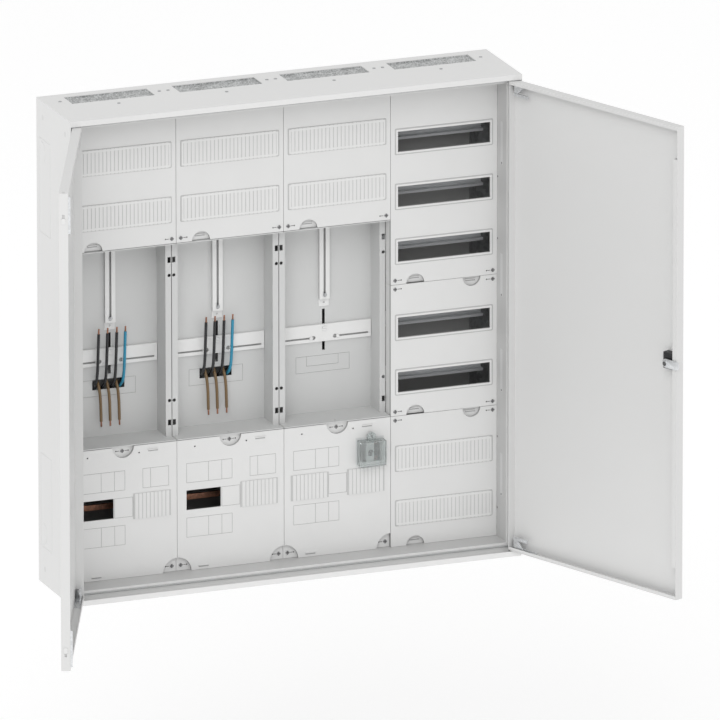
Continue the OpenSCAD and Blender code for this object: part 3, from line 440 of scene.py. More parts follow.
def copper_finish(name, colour):
    """Bare copper, lighter in some patches and browner in others."""
    f = Finish(name)
    patches = f.noise(0.006, 3.0)
    scratches = f.noise(0.0004, 2.0)
    tone = f.mix(patches.smooth(0.35, 0.7), shade(colour, 0.75), shade(colour, 1.25))
    return f.close(tone, 0.3 + 0.25 * scratches, f.relief(scratches, 0.00004, 0.4), 0.8)


def insulation(name, colour):
    """Extruded insulation: satin, with faint rings along the lead."""
    f = Finish(name)
    rings = f.node("Mapping", sockets={"Vector": f.place, "Scale": (0.3, 0.3, 1.0)})
    ripples = f.noise(0.0022, 2.0, rings)
    dust = f.noise(0.0009, 3.0)
    tone = f.mix(dust.smooth(0.5, 0.8) * 0.35, colour, shade(tuple(c + 0.02 for c in colour), 1.7))
    return f.close(tone, 0.36 + 0.18 * dust, f.relief(ripples, 0.0001, 0.4), Coat_Weight=0.12)


def speckled(name):
    """Grey flange insert with light and dark flecks."""
    f = Finish(name)
    flecks = f.noise(0.0032, 4.0)
    patches = f.noise(0.02, 2.0)
    share = (flecks * 0.75 + patches * 0.25).smooth(0.36, 0.62)
    tone = f.mix(share, (0.27, 0.275, 0.275), (0.60, 0.61, 0.61))
    return f.close(tone, 0.7, f.relief(flecks, 0.0004, 0.5))


def foam(name):
    """Cellular seal foam."""
    f = Finish(name)
    cells = f.node("TexVoronoi", sockets={"Vector": f.place, "Scale": 1400.0}, out="Distance")
    tone = f.mix(cells, (0.36, 0.37, 0.37), (0.5, 0.51, 0.51))
    return f.close(tone, 0.85, f.relief(cells, 0.0003, 0.6))


def clear_hood(name):
    """Tinted clear polycarbonate with faint moulding haze."""
    f = Finish(name)
    haze = f.noise(0.012, 2.0)
    tone = f.mix(haze, (0.80, 0.835, 0.83), (0.85, 0.88, 0.875))
    normal = f.relief(haze, 0.00005, 0.1)
    return f.close(tone, 0.06 + 0.04 * haze, normal, Transmission_Weight=0.82, IOR=1.2)


def mark_and_painted_shade(name, colour):
    """Dull tone of small printed marks, and of painted shade for pressed slots, holes and the gaps
    under lips.
    """
    f = Finish(name)
    grain = f.noise(0.0006, 2.0)
    tone = f.mix(grain, shade(colour, 0.8), shade(colour, 1.3))
    return f.close(tone, 0.6, f.relief(grain, 0.00004, 0.3))


def finish(name):
    """A finished material by its name; the CAD has flat ones under plain names."""
    return bpy.data.materials["finish_" + name]


# ---------------------------------------------------------------- mesh helpers


def add_object(name, mesh):
    """New object at the origin, in the scene."""
    made = bpy.data.objects.new(name, mesh)
    bpy.context.scene.collection.objects.link(made)
    return made


def from_bmesh(name, shape, material, smooth=False):
    """Closes a bmesh into an object with one material."""
    bmesh.ops.recalc_face_normals(shape, faces=shape.faces)
    mesh = bpy.data.meshes.new(name)
    shape.to_mesh(mesh)
    shape.free()
    mesh.materials.append(material)
    if smooth:
        mesh.polygons.foreach_set("use_smooth", [True] * len(mesh.polygons))
    return add_object(name, mesh)


def frozen(source, name):
    """The evaluated result of an object as a plain mesh object; the source goes."""
    bpy.context.view_layer.update()
    graph = bpy.context.evaluated_depsgraph_get()
    mesh = bpy.data.meshes.new_from_object(source.evaluated_get(graph))
    bpy.data.objects.remove(source)
    made = add_object(name, mesh)
    mesh.name = name
    return made


def eased(node, material, width, name=None):
    """Copy of a CAD node with its sheet edges broken by a small round."""
    shape = bmesh.new()
    shape.from_mesh(NODES[node].data)
    bmesh.ops.remove_doubles(shape, verts=shape.verts, dist=0.000002)
    bmesh.ops.dissolve_limit(
        shape, angle_limit=math.radians(0.5), verts=shape.verts, edges=shape.edges,
    )
    mesh = bpy.data.meshes.new(node)
    shape.to_mesh(mesh)
    shape.free()
    mesh.materials.clear()
    mesh.materials.append(material)
    source = add_object("work", mesh)
    bevel = source.modifiers.new("Edges", "BEVEL")
    bevel.width = width
    bevel.segments = 2
    bevel.limit_method = "ANGLE"
    bevel.angle_limit = math.radians(40)
    bevel.harden_normals = False
    made = frozen(source, name or "eased_" + node)
    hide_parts(node)
    return made


# ---------------------------------------------------------------- repeated details


class Maker:
    """A Geometry Nodes tree under construction, with named inputs."""

    def __init__(self, name, inputs):
        self.tree = bpy.data.node_groups.new(name, "GeometryNodeTree")
        face = self.tree.interface
        face.new_socket("Geometry", in_out="INPUT", socket_type="NodeSocketGeometry")
        self.names = {}
        for label, kind in inputs:
            socket = face.new_socket(label, in_out="INPUT", socket_type="NodeSocket" + kind)
            self.names[label] = socket.identifier
        face.new_socket("Geometry", in_out="OUTPUT", socket_type="NodeSocketGeometry")
        self.start = self.tree.nodes.new("NodeGroupInput")
        self.end = self.tree.nodes.new("NodeGroupOutput")

    def input(self, label):
        return self.start.outputs[label]

    def node(self, kind, settings=None, sockets=None, out=0):
        made = self.tree.nodes.new(kind)
        for key, value in (settings or {}).items():
            setattr(made, key, value)
        for key, value in (sockets or {}).items():
            target = made.inputs[key]
            if isinstance(value, bpy.types.NodeSocket):
                self.tree.links.new(value, target)
            else:
                target.default_value = value
        return made.outputs[out]

    def finish(self, geometry):
        """Ends the tree in real geometry with its material."""
        real = self.node("GeometryNodeRealizeInstances", sockets={"Geometry": geometry})
        painted = self.node(
            "GeometryNodeSetMaterial",
            sockets={"Geometry": real, "Material": self.input("Material")},
        )
        self.tree.links.new(painted, self.end.inputs[0])
        return self

    def run(self, name, mesh, values):
        """Result of the tree on a mesh, as a plain mesh object."""
        source = add_object("work", mesh)
        modifier = source.modifiers.new("Maker", "NODES")
        modifier.node_group = self.tree
        for label, value in values.items():
            modifier[self.names[label]] = value
        return frozen(source, name)


def points_mesh(name, places):
    """Mesh of loose points that instances stand on."""
    mesh = bpy.data.meshes.new(name)
    mesh.from_pydata([tuple(p) for p in places], [], [])
    return mesh


def bar_maker():
    """Small bars of one size on points."""
    maker = Maker("bars", [("Size", "Vector"), ("Material", "Material")])
    bar = maker.node("GeometryNodeMeshCube", sockets={"Size": maker.input("Size")})
    spread = maker.node(
        "GeometryNodeInstanceOnPoints",
        sockets={"Points": maker.input("Geometry"), "Instance": bar},
    )
    return maker.finish(spread)


def disc_maker():
    """Small discs, turned to face along Turn, on points."""
    maker = Maker(
        "discs",
        [("Radius", "Float"), ("Height", "Float"), ("Turn", "Vector"), ("Material", "Material")],
    )
    disc = maker.node(
        "GeometryNodeMeshCylinder",
        sockets={"Vertices": 20, "Radius": maker.input("Radius"), "Depth": maker.input("Height")},
    )
    turn = maker.node("FunctionNodeEulerToRotation", sockets={"Euler": maker.input("Turn")})
    spread = maker.node(
        "GeometryNodeInstanceOnPoints",
        sockets={"Points": maker.input("Geometry"), "Instance": disc, "Rotation": turn},
    )
    return maker.finish(spread)


def ring_maker():
    """Round beads bent into rings, turned along Turn, on points."""
    maker = Maker(
        "rings",
        [("Radius", "Float"), ("Bead", "Float"), ("Turn", "Vector"), ("Material", "Material")],
    )
    line = maker.node(
        "GeometryNodeCurvePrimitiveCircle",
        settings={"mode": "RADIUS"}, sockets={"Resolution": 28, "Radius": maker.input("Radius")},
    )
    bead = maker.node(
        "GeometryNodeCurvePrimitiveCircle",
        settings={"mode": "RADIUS"}, sockets={"Resolution": 6, "Radius": maker.input("Bead")},
    )
    ring = maker.node("GeometryNodeCurveToMesh", sockets={"Curve": line, "Profile Curve": bead})
    turn = maker.node("FunctionNodeEulerToRotation", sockets={"Euler": maker.input("Turn")})
    spread = maker.node(
        "GeometryNodeInstanceOnPoints",
        sockets={"Points": maker.input("Geometry"), "Instance": ring, "Rotation": turn},
    )
    return maker.finish(spread)


def seal_maker():
    """A round bead along a rectangle with rounded corners."""
    maker = Maker(
        "seal_bead",
        [("Width", "Float"), ("Height", "Float"), ("Corner", "Float"), ("Bead", "Float"),
         ("Place", "Vector"), ("Material", "Material")],
    )
    frame_line = maker.node(
        "GeometryNodeCurvePrimitiveQuadrilateral",
        sockets={"Width": maker.input("Width"), "Height": maker.input("Height")},
    )
    rounded = maker.node(
        "GeometryNodeFilletCurve", settings={"mode": "POLY"},
        sockets={"Curve": frame_line, "Radius": maker.input("Corner"), "Count": 6},
    )
    bead = maker.node(
        "GeometryNodeCurvePrimitiveCircle",
        settings={"mode": "RADIUS"}, sockets={"Resolution": 12, "Radius": maker.input("Bead")},
    )
    tube = maker.node("GeometryNodeCurveToMesh", sockets={"Curve": rounded, "Profile Curve": bead})
    stood = maker.node(
        "GeometryNodeTransform",
        sockets={
            "Geometry": tube, "Rotation": (math.pi / 2, 0, 0), "Translation": maker.input("Place"),
        },
    )
    return maker.finish(stood)


# ---------------------------------------------------------------- operators


class CABINET_OT_finishes(bpy.types.Operator):
    """Makes every finish and puts it on the parts that keep their shape"""

    bl_idname = "cabinet.finishes"
    bl_label = "Finishes"

    def execute(self, context):
        s = context.scene.cabinet_finish
        leads = context.scene.cabinet_leads
        steel, plastic, plate = tuple(s.steel), tuple(s.plastic), tuple(s.plate)
        zinc, copper, mark = tuple(s.zinc), tuple(s.copper), tuple(s.mark)
        powder_coat("white_steel", steel, s.peel)
        powder_coat("rail_coat", shade(steel, 1.04), s.peel)
        rail_face = -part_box("upright_rails")[0][1]
        strip_face = -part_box("upper_blanking_strips")[0][1]
        bezel_face = -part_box("device_bezels")[0][1]
        # Painted shade by depth: covers darker in grooves and pocket walls, strips between ribs,
        # rims on their steps, boxes on their walls, upright rails on their sides
        painted_depth_shade("cover_plastic", plastic, s.grain, COVER_FACE, 0.5 * MM, 0.55, POCKET)
        painted_depth_shade("ribbed_plastic", plastic, s.grain, strip_face, 0.5 * MM, 0.74)
        painted_depth_shade("bezel_plastic", shade(plastic, 1.04), s.grain, bezel_face, 1.2 * MM, 0.62)
        painted_depth_shade("box_plastic", plate, s.grain, PLATE_FACE, 0.5 * MM, 0.6)
        painted_depth_shade("upright_coat", shade(steel, 1.04), s.grain, rail_face, 1.5 * MM, 0.6, 6 * MM)
        # Doors: the white powder coat painted darker, as painted shade on the leaves
        powder_coat("door_steel", shade(steel, 0.92), s.peel)
        # Back panel: the powder coat at half tone, as painted shade inside the cabinet
        powder_coat("back_painted_shade", shade(steel, 0.5), s.peel)
        # The rim's inner sleeve is painted darker behind the rim face: painted shade
        rim_face = -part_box("front_frame")[0][1]
        painted_depth_shade("rim_coat", steel, s.peel, rim_face, 6 * MM, 0.74)
        moulded("strip_plastic", shade(plastic, 1.01), s.grain, 0.42)
        moulded("plate_plastic", plate, s.grain, 0.55)
        moulded("plug_plastic", shade(plastic, 0.93), s.grain, 0.4)
        moulded("fastener_plastic", (0.34, 0.34, 0.345), s.grain, 0.42)
        moulded("switch_plastic", (0.62, 0.63, 0.63), s.grain, 0.4)
        moulded("black_plastic", (0.02, 0.02, 0.022), s.grain, 0.38)
        moulded("holder_plastic", (0.10, 0.035, 0.025), s.grain, 0.5)
        galvanised("zinc_sheet", shade(zinc, 0.7), s.spangle)
        moulded("rail_zinc", shade(zinc, 1.3), s.grain, 0.35)
        galvanised("hinge_zinc", shade(zinc, 1.15), s.spangle * 0.5, 0.9)
        zinc_plated("zinc_plated", shade(zinc, 0.8))
        zinc_plated("cast_cam", shade(zinc, 1.3))
        copper_finish("copper", copper)
        insulation("black_insulation", tuple(leads.black))
        insulation("blue_insulation", tuple(leads.blue))
        insulation("brown_insulation", tuple(leads.brown))
        speckled("flange_grey")
        foam("seal_foam")
        clear_hood("clear_hood")
        mark_and_painted_shade("mark_and_hole_shade", mark)
        # slot_shadow is painted shadow for the gaps under the finger lips; the slot grey below is
        # painted shade of the pressed slots
        mark_and_painted_shade("slot_shadow", (0.40, 0.40, 0.40))
        mark_and_painted_shade("painted_slot_shade", (0.60, 0.60, 0.60))
        plain = {
            "cover_posts": "plate_plastic", "flange_plates": "flange_grey",
            "busbars": "copper", "busbar_holders": "holder_plastic",
            "lead_clamps": "black_plastic", "cover_fasteners": "fastener_plastic",
            "switch_toggle": "black_plastic", "side_plugs": "plug_plastic",
            "support_rails": "zinc_sheet", "din_rails": "rail_zinc",
            "flange_screws": "zinc_plated", "hinge_pins": "zinc_plated",
            "meter_hook_1": "zinc_plated", "meter_hook_2": "zinc_plated",
            "meter_hook_3": "zinc_plated", "back_panel": "back_painted_shade",
        }
        for node, name in plain.items():
            slots = NODES[node].data.materials
            slots.clear()
            slots.append(finish(name))
        return {"FINISHED"}


class CABINET_OT_eased_parts(bpy.types.Operator):
    """Breaks the sharp edges of the sheet steel and the moulded parts"""

    bl_idname = "cabinet.eased_parts"
    bl_label = "Eased edges"

    def execute(self, context):
        body_of = {}
        for body, nodes in frame["record"]["behaviour"]["bodies"].items():
            for node in nodes:
                body_of[node] = body
        steel_edge, mould_edge, thin_edge = 0.45 * MM, 0.35 * MM, 0.2 * MM
        jobs = [
            (CASING, "white_steel", steel_edge),
            (("front_frame",), "rim_coat", steel_edge),
            (DOOR_STEEL, "door_steel", steel_edge),
            (COVERS, "cover_plastic", mould_edge),
            (STRIPS, "ribbed_plastic", thin_edge),
            (BOXES, "box_plastic", mould_edge),
            (("upright_rails",), "upright_coat", thin_edge),
            (CROSS_RAILS, "rail_coat", thin_edge),
            (HINGE_PARTS, "hinge_zinc", thin_edge),
            (("upper_bolt", "lower_bolt"), "strip_plastic", thin_edge),
            (("switch_body", "flap_frame"), "switch_plastic", thin_edge),
            (("lock_body",), "black_plastic", mould_edge),
            (("lock_cam",), "cast_cam", mould_edge),
        ]
        for nodes, material, width in jobs:
            for node in nodes:
                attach(eased(node, finish(material), width), body_of[node])
        joints = frame["record"]["behaviour"]["joints"]
        turn = next(j for j in joints if j["name"] == "lock_cam_turn")
        axis, pivot = Vector(turn["axis"]).normalized(), Vector(turn["pos_m"])
        reach = [(Vector(v.co) - pivot).dot(axis) for v in NODES["lock_cam"].data.vertices]
        far = max(reach) if abs(max(reach)) > abs(min(reach)) else min(reach)
        shape = bmesh.new()
        stand = axis.to_track_quat("Z", "Y").to_matrix().to_4x4()
        bmesh.ops.create_cone(
            shape, cap_ends=True, segments=24, radius1=5.2 * MM, radius2=5.0 * MM,
            depth=0.6 * MM, matrix=Matrix.Translation(pivot + axis * far) @ stand,
        )
        spindle = from_bmesh("cam_spindle", shape, finish("mark_and_hole_shade"))
        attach(spindle, "lock_cam")
        return {"FINISHED"}


def lead_points(route, x, lean, steps=4):
    """Smooth run of points through a route, for a lead at x."""
    corners = [Vector((x + p[0] * lean, -p[1] * MM, CASE_FOOT + p[2] * MM)) for p in route]
    run = []
    for n in range(len(corners) - 1):
        a, b = corners[max(n - 1, 0)], corners[n]
        c, d = corners[n + 1], corners[min(n + 2, len(corners) - 1)]
        for k in range(steps):
            t = k / steps
            run.append(
                0.5 * ((2 * b) + (c - a) * t + (2 * a - 5 * b + 4 * c - d) * t * t
                       + (3 * b - a - 3 * c + d) * t ** 3)
            )
    run.append(corners[-1])
    return run


def stranded_tip(name, start, heading, settings):
    """Bare end of a lead: outer strands laid round one core strand."""
    shape = bmesh.new()
    turn = heading.to_track_quat("Z", "Y").to_matrix().to_4x4()
    radius = settings.tip_diameter / 2
    wire, core, twist = radius * 0.36, 1.25, 0.9
    sides, rings = 7, 6
    lay = [(0.0, 0.0)] + [
        (radius - wire, 2 * math.pi * k / settings.strands) for k in range(settings.strands)
    ]
    for reach, angle in lay:
        loops = []
        for ring in range(rings + 1):
            share = ring / rings
            swing = angle + twist * share
            along = settings.tip_length * share
            middle = Vector((reach * math.cos(swing), reach * math.sin(swing), along))
            loop = []
            for side in range(sides):
                around = 2 * math.pi * side / sides
                fat = wire * (core if reach == 0 else 1.0)
                spot = middle + Vector((fat * math.cos(around), fat * math.sin(around), 0))
                loop.append(shape.verts.new(turn @ spot + start))
            loops.append(loop)
        for low, high in zip(loops, loops[1:]):
            for side in range(sides):
                nxt = (side + 1) % sides
                shape.faces.new((low[side], low[nxt], high[nxt], high[side]))
        shape.faces.new(list(reversed(loops[0])))
        shape.faces.new(loops[-1])
    return from_bmesh(name, shape, finish("copper"), smooth=True)


class CABINET_OT_leads(bpy.types.Operator):
    """Makes the fourteen stiff leads and their bare tips"""

    bl_idname = "cabinet.leads"
    bl_label = "Leads"

    def execute(self, context):
        s = context.scene.cabinet_leads
        number = 0
        for field in (0, 1):
            runs = [("black", UP_ROUTE, place, LEAN_UP) for place in BLACK_PLACES]
            runs.append(("blue", UP_ROUTE, BLUE_PLACE, LEAN_UP))
            runs += [("brown", DOWN_ROUTE, place, LEAN_DOWN) for place in BROWN_PLACES]
            for colour, route, place, lean in runs:
                number += 1
                points = lead_points(route, field_x(field, place), lean)
                curve = bpy.data.curves.new(f"lead_{number:02d}", "CURVE")
                curve.dimensions = "3D"
                curve.bevel_depth = s.diameter / 2
                curve.bevel_resolution = 4
                curve.use_fill_caps = True
                spline = curve.splines.new("POLY")
                spline.points.add(len(points) - 1)
                for spot, point in zip(spline.points, points):
                    spot.co = (*point, 1)
                spline.use_smooth = True
                curve.materials.append(finish(colour + "_insulation"))
                lead = add_object(f"{colour}_lead_{number:02d}", curve)
                heading = (points[-1] - points[-3]).normalized()
                start = points[-1] - heading * TIP_OVERLAP
                tip = stranded_tip(f"lead_tip_{number:02d}", start, heading, s)
                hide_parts(colour + "_leads")
                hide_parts("lead_tips")
                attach(lead, "cabinet")
                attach(tip, "cabinet")
                length = sum((b - a).length for a, b in zip(points, points[1:]))
        return {"FINISHED"}


def fastener_places():
    """Every cover fastener: place across, height, depth and the sides that carry marks."""
    edge, meter_rise, foot_rise = 10.5 * MM, 11 * MM, 13 * MM
    head_drop, seam_gap = 11 * MM, 10 * MM
    places = []
    for field in range(3):
        for side, across in ((1, edge), (-1, FIELD_WIDTH - edge)):
            x = field_x(field, across)
            places.append((x, METER_TOP + meter_rise, COVER_FACE, (side,)))
            places.append((x, FIELD_FOOT + foot_rise, COVER_FACE - POCKET, (side,)))
        middle = field_x(field, FIELD_WIDTH / 2)
        places.append((middle, LOWER_TOP - head_drop, COVER_FACE - POCKET, (-1, 1)))
    for side, across in ((1, edge), (-1, FIELD_WIDTH - edge)):
        for seam in (MIDDLE_TOP, LOWER_TOP):
            for height in (seam + seam_gap, seam - seam_gap):
                places.append((field_x(3, across), height, COVER_FACE, (side,)))
    return places


class CABINET_OT_fastener_marks(bpy.types.Operator):
    """Dashes and dots beside every cover fastener"""

    bl_idname = "cabinet.fastener_marks"
    bl_label = "Fastener marks"

    def execute(self, context):
        s = context.scene.cabinet_detail
        proud, head = 0.12 * MM, 1.22 * MM
        to_dash, to_dot = 9.2 * MM, 14.2 * MM
        long, wide = 9 * MM, 1.7 * MM
        flat = (math.pi / 2, 0, 0)
        dashes, dots, crosses = [], [], []
        for x, z, depth, sides in fastener_places():
            for side in sides:
                dashes.append((x + side * to_dash, -depth - proud / 2, z))
                dots.append((x + side * to_dot, -depth - proud / 2, z))
            crosses.append((x, -depth - head, z))
        mark = finish("mark_and_hole_shade")
        bars, discs = bar_maker(), disc_maker()
        made = [
            bars.run("fastener_dashes", points_mesh("dashes", dashes),
                     {"Size": (s.dash, proud, 1.3 * MM), "Material": mark}),
            discs.run("fastener_dots", points_mesh("dots", dots),
                      {"Radius": s.dot / 2, "Height": proud, "Turn": flat, "Material": mark}),
            bars.run("fastener_cross_bars", points_mesh("bars", crosses),
                     {"Size": (long, proud, wide), "Material": mark}),
            bars.run("fastener_cross_posts", points_mesh("posts", crosses),
                     {"Size": (wide, proud, long), "Material": mark}),
        ]
        for piece in made:
            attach(piece, "cabinet")
        return {"FINISHED"}


class CABINET_OT_lips(bpy.types.Operator):
    """Finger lips in the small pockets and over the latch dents, each over a dark bar of painted
    shadow
    """

    bl_idname = "cabinet.lips"
    bl_label = "Finger lips"

    def execute(self, context):
        s = context.scene.cabinet_detail
        small, down, rise = 58 * MM, 190 * MM, 10 * MM
        lift, lip_height, shade_height = 2.6 * MM, 1.6 * MM, 3.4 * MM
        dents = ((194.5 * MM, LOWER_TOP - 14.75 * MM), (61.5 * MM, FIELD_FOOT + 7.75 * MM))
        spots = [(field_x(field, small), METER_TOP + rise) for field in range(3)]
        spots += [(field_x(3, small), z + rise) for z in (MIDDLE_TOP, LOWER_TOP, FIELD_FOOT)]
        spots += [(field_x(3, down), z - rise) for z in (MIDDLE_TOP, LOWER_TOP)]
        sunk = COVER_FACE - POCKET
        lips = [(x, -sunk - s.lip_reach / 2, z + lift) for x, z in spots]
        # shades: dark bars just behind each lip, painted shadow in the gap under it
        shades = [(x, -sunk - 0.1 * MM, z) for x, z in spots]
        for field in range(3):
            for x, z in dents:
                shades.append((field_x(field, x), -COVER_FACE - 0.05 * MM, z))
                lips.append((field_x(field, x), -COVER_FACE - s.lip_reach / 2, z + lift))
        bars = bar_maker()
        made = [
            bars.run("finger_lips", points_mesh("lips", lips), {
                "Size": (s.lip_width, s.lip_reach, lip_height), "Material": finish("strip_plastic"),
            }),
            bars.run("lip_shades", points_mesh("shades", shades), {
                "Size": (s.lip_width, 0.2 * MM, shade_height), "Material": finish("slot_shadow"),
            }),
        ]
        for piece in made:
            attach(piece, "cabinet")
        return {"FINISHED"}


class CABINET_OT_rim_slots(bpy.types.Operator):
    """Pressed slots and holes in the inner walls of the rim, and the marks on its face, as flat
    inlays whose grey and near-black tones are painted shade of the pressings and holes
    """

    bl_idname = "cabinet.rim_slots"
    bl_label = "Rim slots"

    def execute(self, context):
        s = context.scene.cabinet_detail
        wall = field_x(FIELDS) - 0.05 * MM
        thin = 0.1 * MM
        sideways, forwards = (0, math.pi / 2, 0), (math.pi / 2, 0, 0)
        depth = 156.5 * MM
        length = 97 * MM
        slots = [-377 * MM, -138 * MM, 80 * MM, 381 * MM]
        holes, hole_depth = (-459.5, -296.3, 157.4, 298.7), 3.4 * MM
        face_gap, dash_gap, corner_room = 7.5 * MM, 6 * MM, 0.02
        bars, discs = bar_maker(), disc_maker()
        # Grey bars and dots for the pressed slots and face marks, near-black discs for the holes:
        # painted shade of the pressings and holes
        grey, mark = finish("painted_slot_shade"), finish("mark_and_hole_shade")
        line_places, foot_places, hole_places = [], [], []
        for side in (-1, 1):
            for z in slots:
                line_places.append((side * wall, -depth, z))
                foot_places.append((side * (wall - thin), -depth, z - length / 2 + 3 * MM))
            for z in holes:
                hole_places.append((side * wall, -COVER_FACE - hole_depth, z * MM))
        face = -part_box("front_frame")[0][1]
        rim_marks, rim_dots = [], []
        for field in range(FIELDS):
            for z in (FIELD_FOOT - face_gap, FIELD_TOP + face_gap):
                x = field_x(field, FIELD_WIDTH) if z < 0 else field_x(field, FIELD_WIDTH / 2)
                if abs(x) > field_x(FIELDS) - corner_room:
                    continue
                rim_marks += [(x - dash_gap, -face - thin, z), (x + dash_gap, -face - thin, z)]
                rim_dots.append((x, -face - thin, z))
        made = [
            bars.run("rim_slots", points_mesh("slots", line_places),
                     {"Size": (thin, s.slot_width, length), "Material": grey}),
            discs.run("rim_slot_feet", points_mesh("feet", foot_places),
                      {"Radius": 2.4 * MM, "Height": thin, "Turn": sideways, "Material": mark}),
            discs.run("rim_holes", points_mesh("holes", hole_places),
                      {"Radius": 2.2 * MM, "Height": thin, "Turn": sideways, "Material": mark}),
            bars.run("rim_dashes", points_mesh("rim_dashes", rim_marks),
                     {"Size": (5 * MM, thin, 1.0 * MM), "Material": grey}),
            discs.run("rim_dots", points_mesh("rim_dots", rim_dots),
                      {"Radius": 1.3 * MM, "Height": thin, "Turn": forwards, "Material": grey}),
        ]
        for piece in made:
            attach(piece, "cabinet")
        return {"FINISHED"}


class CABINET_OT_knockouts(bpy.types.Operator):
    """Rings of the cable knock-outs on the flange inserts"""

    bl_idname = "cabinet.knockouts"
    bl_label = "Knock-outs"

    def execute(self, context):
        s = context.scene.cabinet_detail
        rings = ring_maker()
        sheet, sunk, pitch = 1.5 * MM, 4.5 * MM, 26 * MM
        floor = CASE_TOP + sheet - sunk
        large, small = [], []
        for field in range(FIELDS):
            for column in range(7):
                x = field_x(field, FIELD_WIDTH / 2 + (column - 3) * pitch)
                for row, depth in enumerate((39 * MM, 65 * MM)):
                    (large if (column + row) % 2 else small).append((x, -depth, floor + 0.2 * MM))
        for name, places, radius in (
            ("large_knockouts", large, s.knockout), ("small_knockouts", small, s.knockout * 0.72),
        ):
            piece = rings.run(name, points_mesh(name, places), {
                "Radius": radius, "Bead": 0.7 * MM, "Turn": (0, 0, 0),
                "Material": finish("flange_grey"),
            })
            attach(piece, "cabinet")
        return {"FINISHED"}


class CABINET_OT_plate_marks(bpy.types.Operator):
    """Raised guide outlines on the meter plates"""

    bl_idname = "cabinet.plate_marks"
    bl_label = "Plate marks"

    def execute(self, context):
        bars, rings = bar_maker(), ring_maker()
        plastic = finish("plate_plastic")
        lines, eyes = [], []
        low, high = CASE_FOOT + 462 * MM, CASE_FOOT + 572 * MM
        guides, eye, line = (228 * MM, 233 * MM), 230.5 * MM, 0.7 * MM
        face = -PLATE_FACE - 0.15 * MM
        for field in range(3):
            for across in guides:
                lines.append((field_x(field, across), face, (low + high) / 2))
            eyes.append((field_x(field, eye), face, low - 2 * MM))
        made = [
            bars.run("plate_guides", points_mesh("guides", lines),
                     {"Size": (line, 0.5 * MM, high - low), "Material": plastic}),
            rings.run("plate_eyes", points_mesh("eyes", eyes),
                      {"Radius": 3.2 * MM, "Bead": 0.5 * MM, "Turn": (math.pi / 2, 0, 0),
                       "Material": plastic}),
        ]
        for piece in made:
            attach(piece, "cabinet")
        return {"FINISHED"}


def framed_loop(shape, x, z, inset, depth, corner, steps=5):
    """Loop of vertices round a rectangle with rounded corners."""
    loop = []
    (x0, x1), (z0, z1) = (x[0] + inset, x[1] - inset), (z[0] + inset, z[1] - inset)
    for cx, cz, start in ((x1, z1, 0), (x0, z1, 90), (x0, z0, 180), (x1, z0, 270)):
        mx = cx - corner * (1 if cx == x1 else -1)
        mz = cz - corner * (1 if cz == z1 else -1)
        for k in range(steps + 1):
            a = math.radians(start + 90 * k / steps)
            spot = (mx + corner * math.cos(a), -depth, mz + corner * math.sin(a))
            loop.append(shape.verts.new(spot))
    return loop


def bridge(shape, loops):
    """Walls between loops of equal length, the last joined to the first."""
    for low, high in zip(loops, loops[1:] + loops[:1]):
        count = len(low)
        for n in range(count):
            m = (n + 1) % count
            shape.faces.new((low[n], low[m], high[m], high[n]))


def rims(name, spots):
    """Stepped rims round openings; each spot is a field number and a height."""
    low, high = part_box("device_bezels")
    half = high[2] - UPPER_ROWS[0]
    back, front = COVER_FACE, -low[1]
    rim = front - back
    # Each step of the rim: inset in mm, depth from the wall, corner radius in mm
    section = (
        (0.0, back, 3.0), (0.25, back + rim * 0.35, 3.0), (1.0, back + rim * 0.55, 2.6),
        (2.4, back + rim * 0.58, 2.2), (3.0, back + rim * 0.95, 1.6), (3.6, front, 1.4),
        (6.2, front, 1.0), (6.8, front - rim * 0.15, 0.8), (7.0, front - rim * 0.5, 0.8),
        (7.0, back, 0.8),
    )
    shape = bmesh.new()
    for field, row in spots:
        shift = (field - 3) * FIELD_WIDTH
        x, z = (low[0] + shift, high[0] + shift), (row - half, row + half)
        bridge(shape, [framed_loop(shape, x, z, i * MM, d, c * MM) for i, d, c in section])
    made = from_bmesh(name, shape, finish("bezel_plastic"))
    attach(made, "cabinet")
    return made


class CABINET_OT_bezels(bpy.types.Operator):
    """Stepped rims round the device openings and the blanked rows"""

    bl_idname = "cabinet.bezels"
    bl_label = "Bezels"

    def execute(self, context):
        open_rims = rims("device_rims", [(3, row) for row in UPPER_ROWS + DEVICE_ROWS])
        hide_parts("device_bezels")
        blank = [(field, row) for field in range(3) for row in BLANK_ROWS]
        rims("blank_rims", blank + [(3, row) for row in LOWER_ROWS])
        return {"FINISHED"}


class CABINET_OT_hood(bpy.types.Operator):
    """Clear hood over the switch, its edges rounded as moulded"""

    bl_idname = "cabinet.hood"
    bl_label = "Hood"

    def execute(self, context):
        made = eased("sealing_flap", finish("clear_hood"), 0.8 * MM, "clear_hood")
        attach(made, "sealing_flap")
        return {"FINISHED"}


class CABINET_OT_seal(bpy.types.Operator):
    """Foam bead of the door seal"""

    bl_idname = "cabinet.seal"
    bl_label = "Door seal"

    def execute(self, context):
        s = context.scene.cabinet_detail
        low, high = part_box("door_seal")
        bead = s.seal_bead / 2
        inset, corner = 6 * MM, 8 * MM
        width, height = high[0] - low[0] - inset, high[2] - low[2] - inset
        place = ((low[0] + high[0]) / 2, high[1] - bead, (low[2] + high[2]) / 2)
        made = seal_maker().run("seal_bead", points_mesh("seal", [(0, 0, 0)]), {
            "Width": width, "Height": height, "Corner": corner, "Bead": bead,
            "Place": place, "Material": finish("seal_foam"),
        })
        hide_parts("door_seal")
        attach(made, "cabinet")
        return {"FINISHED"}


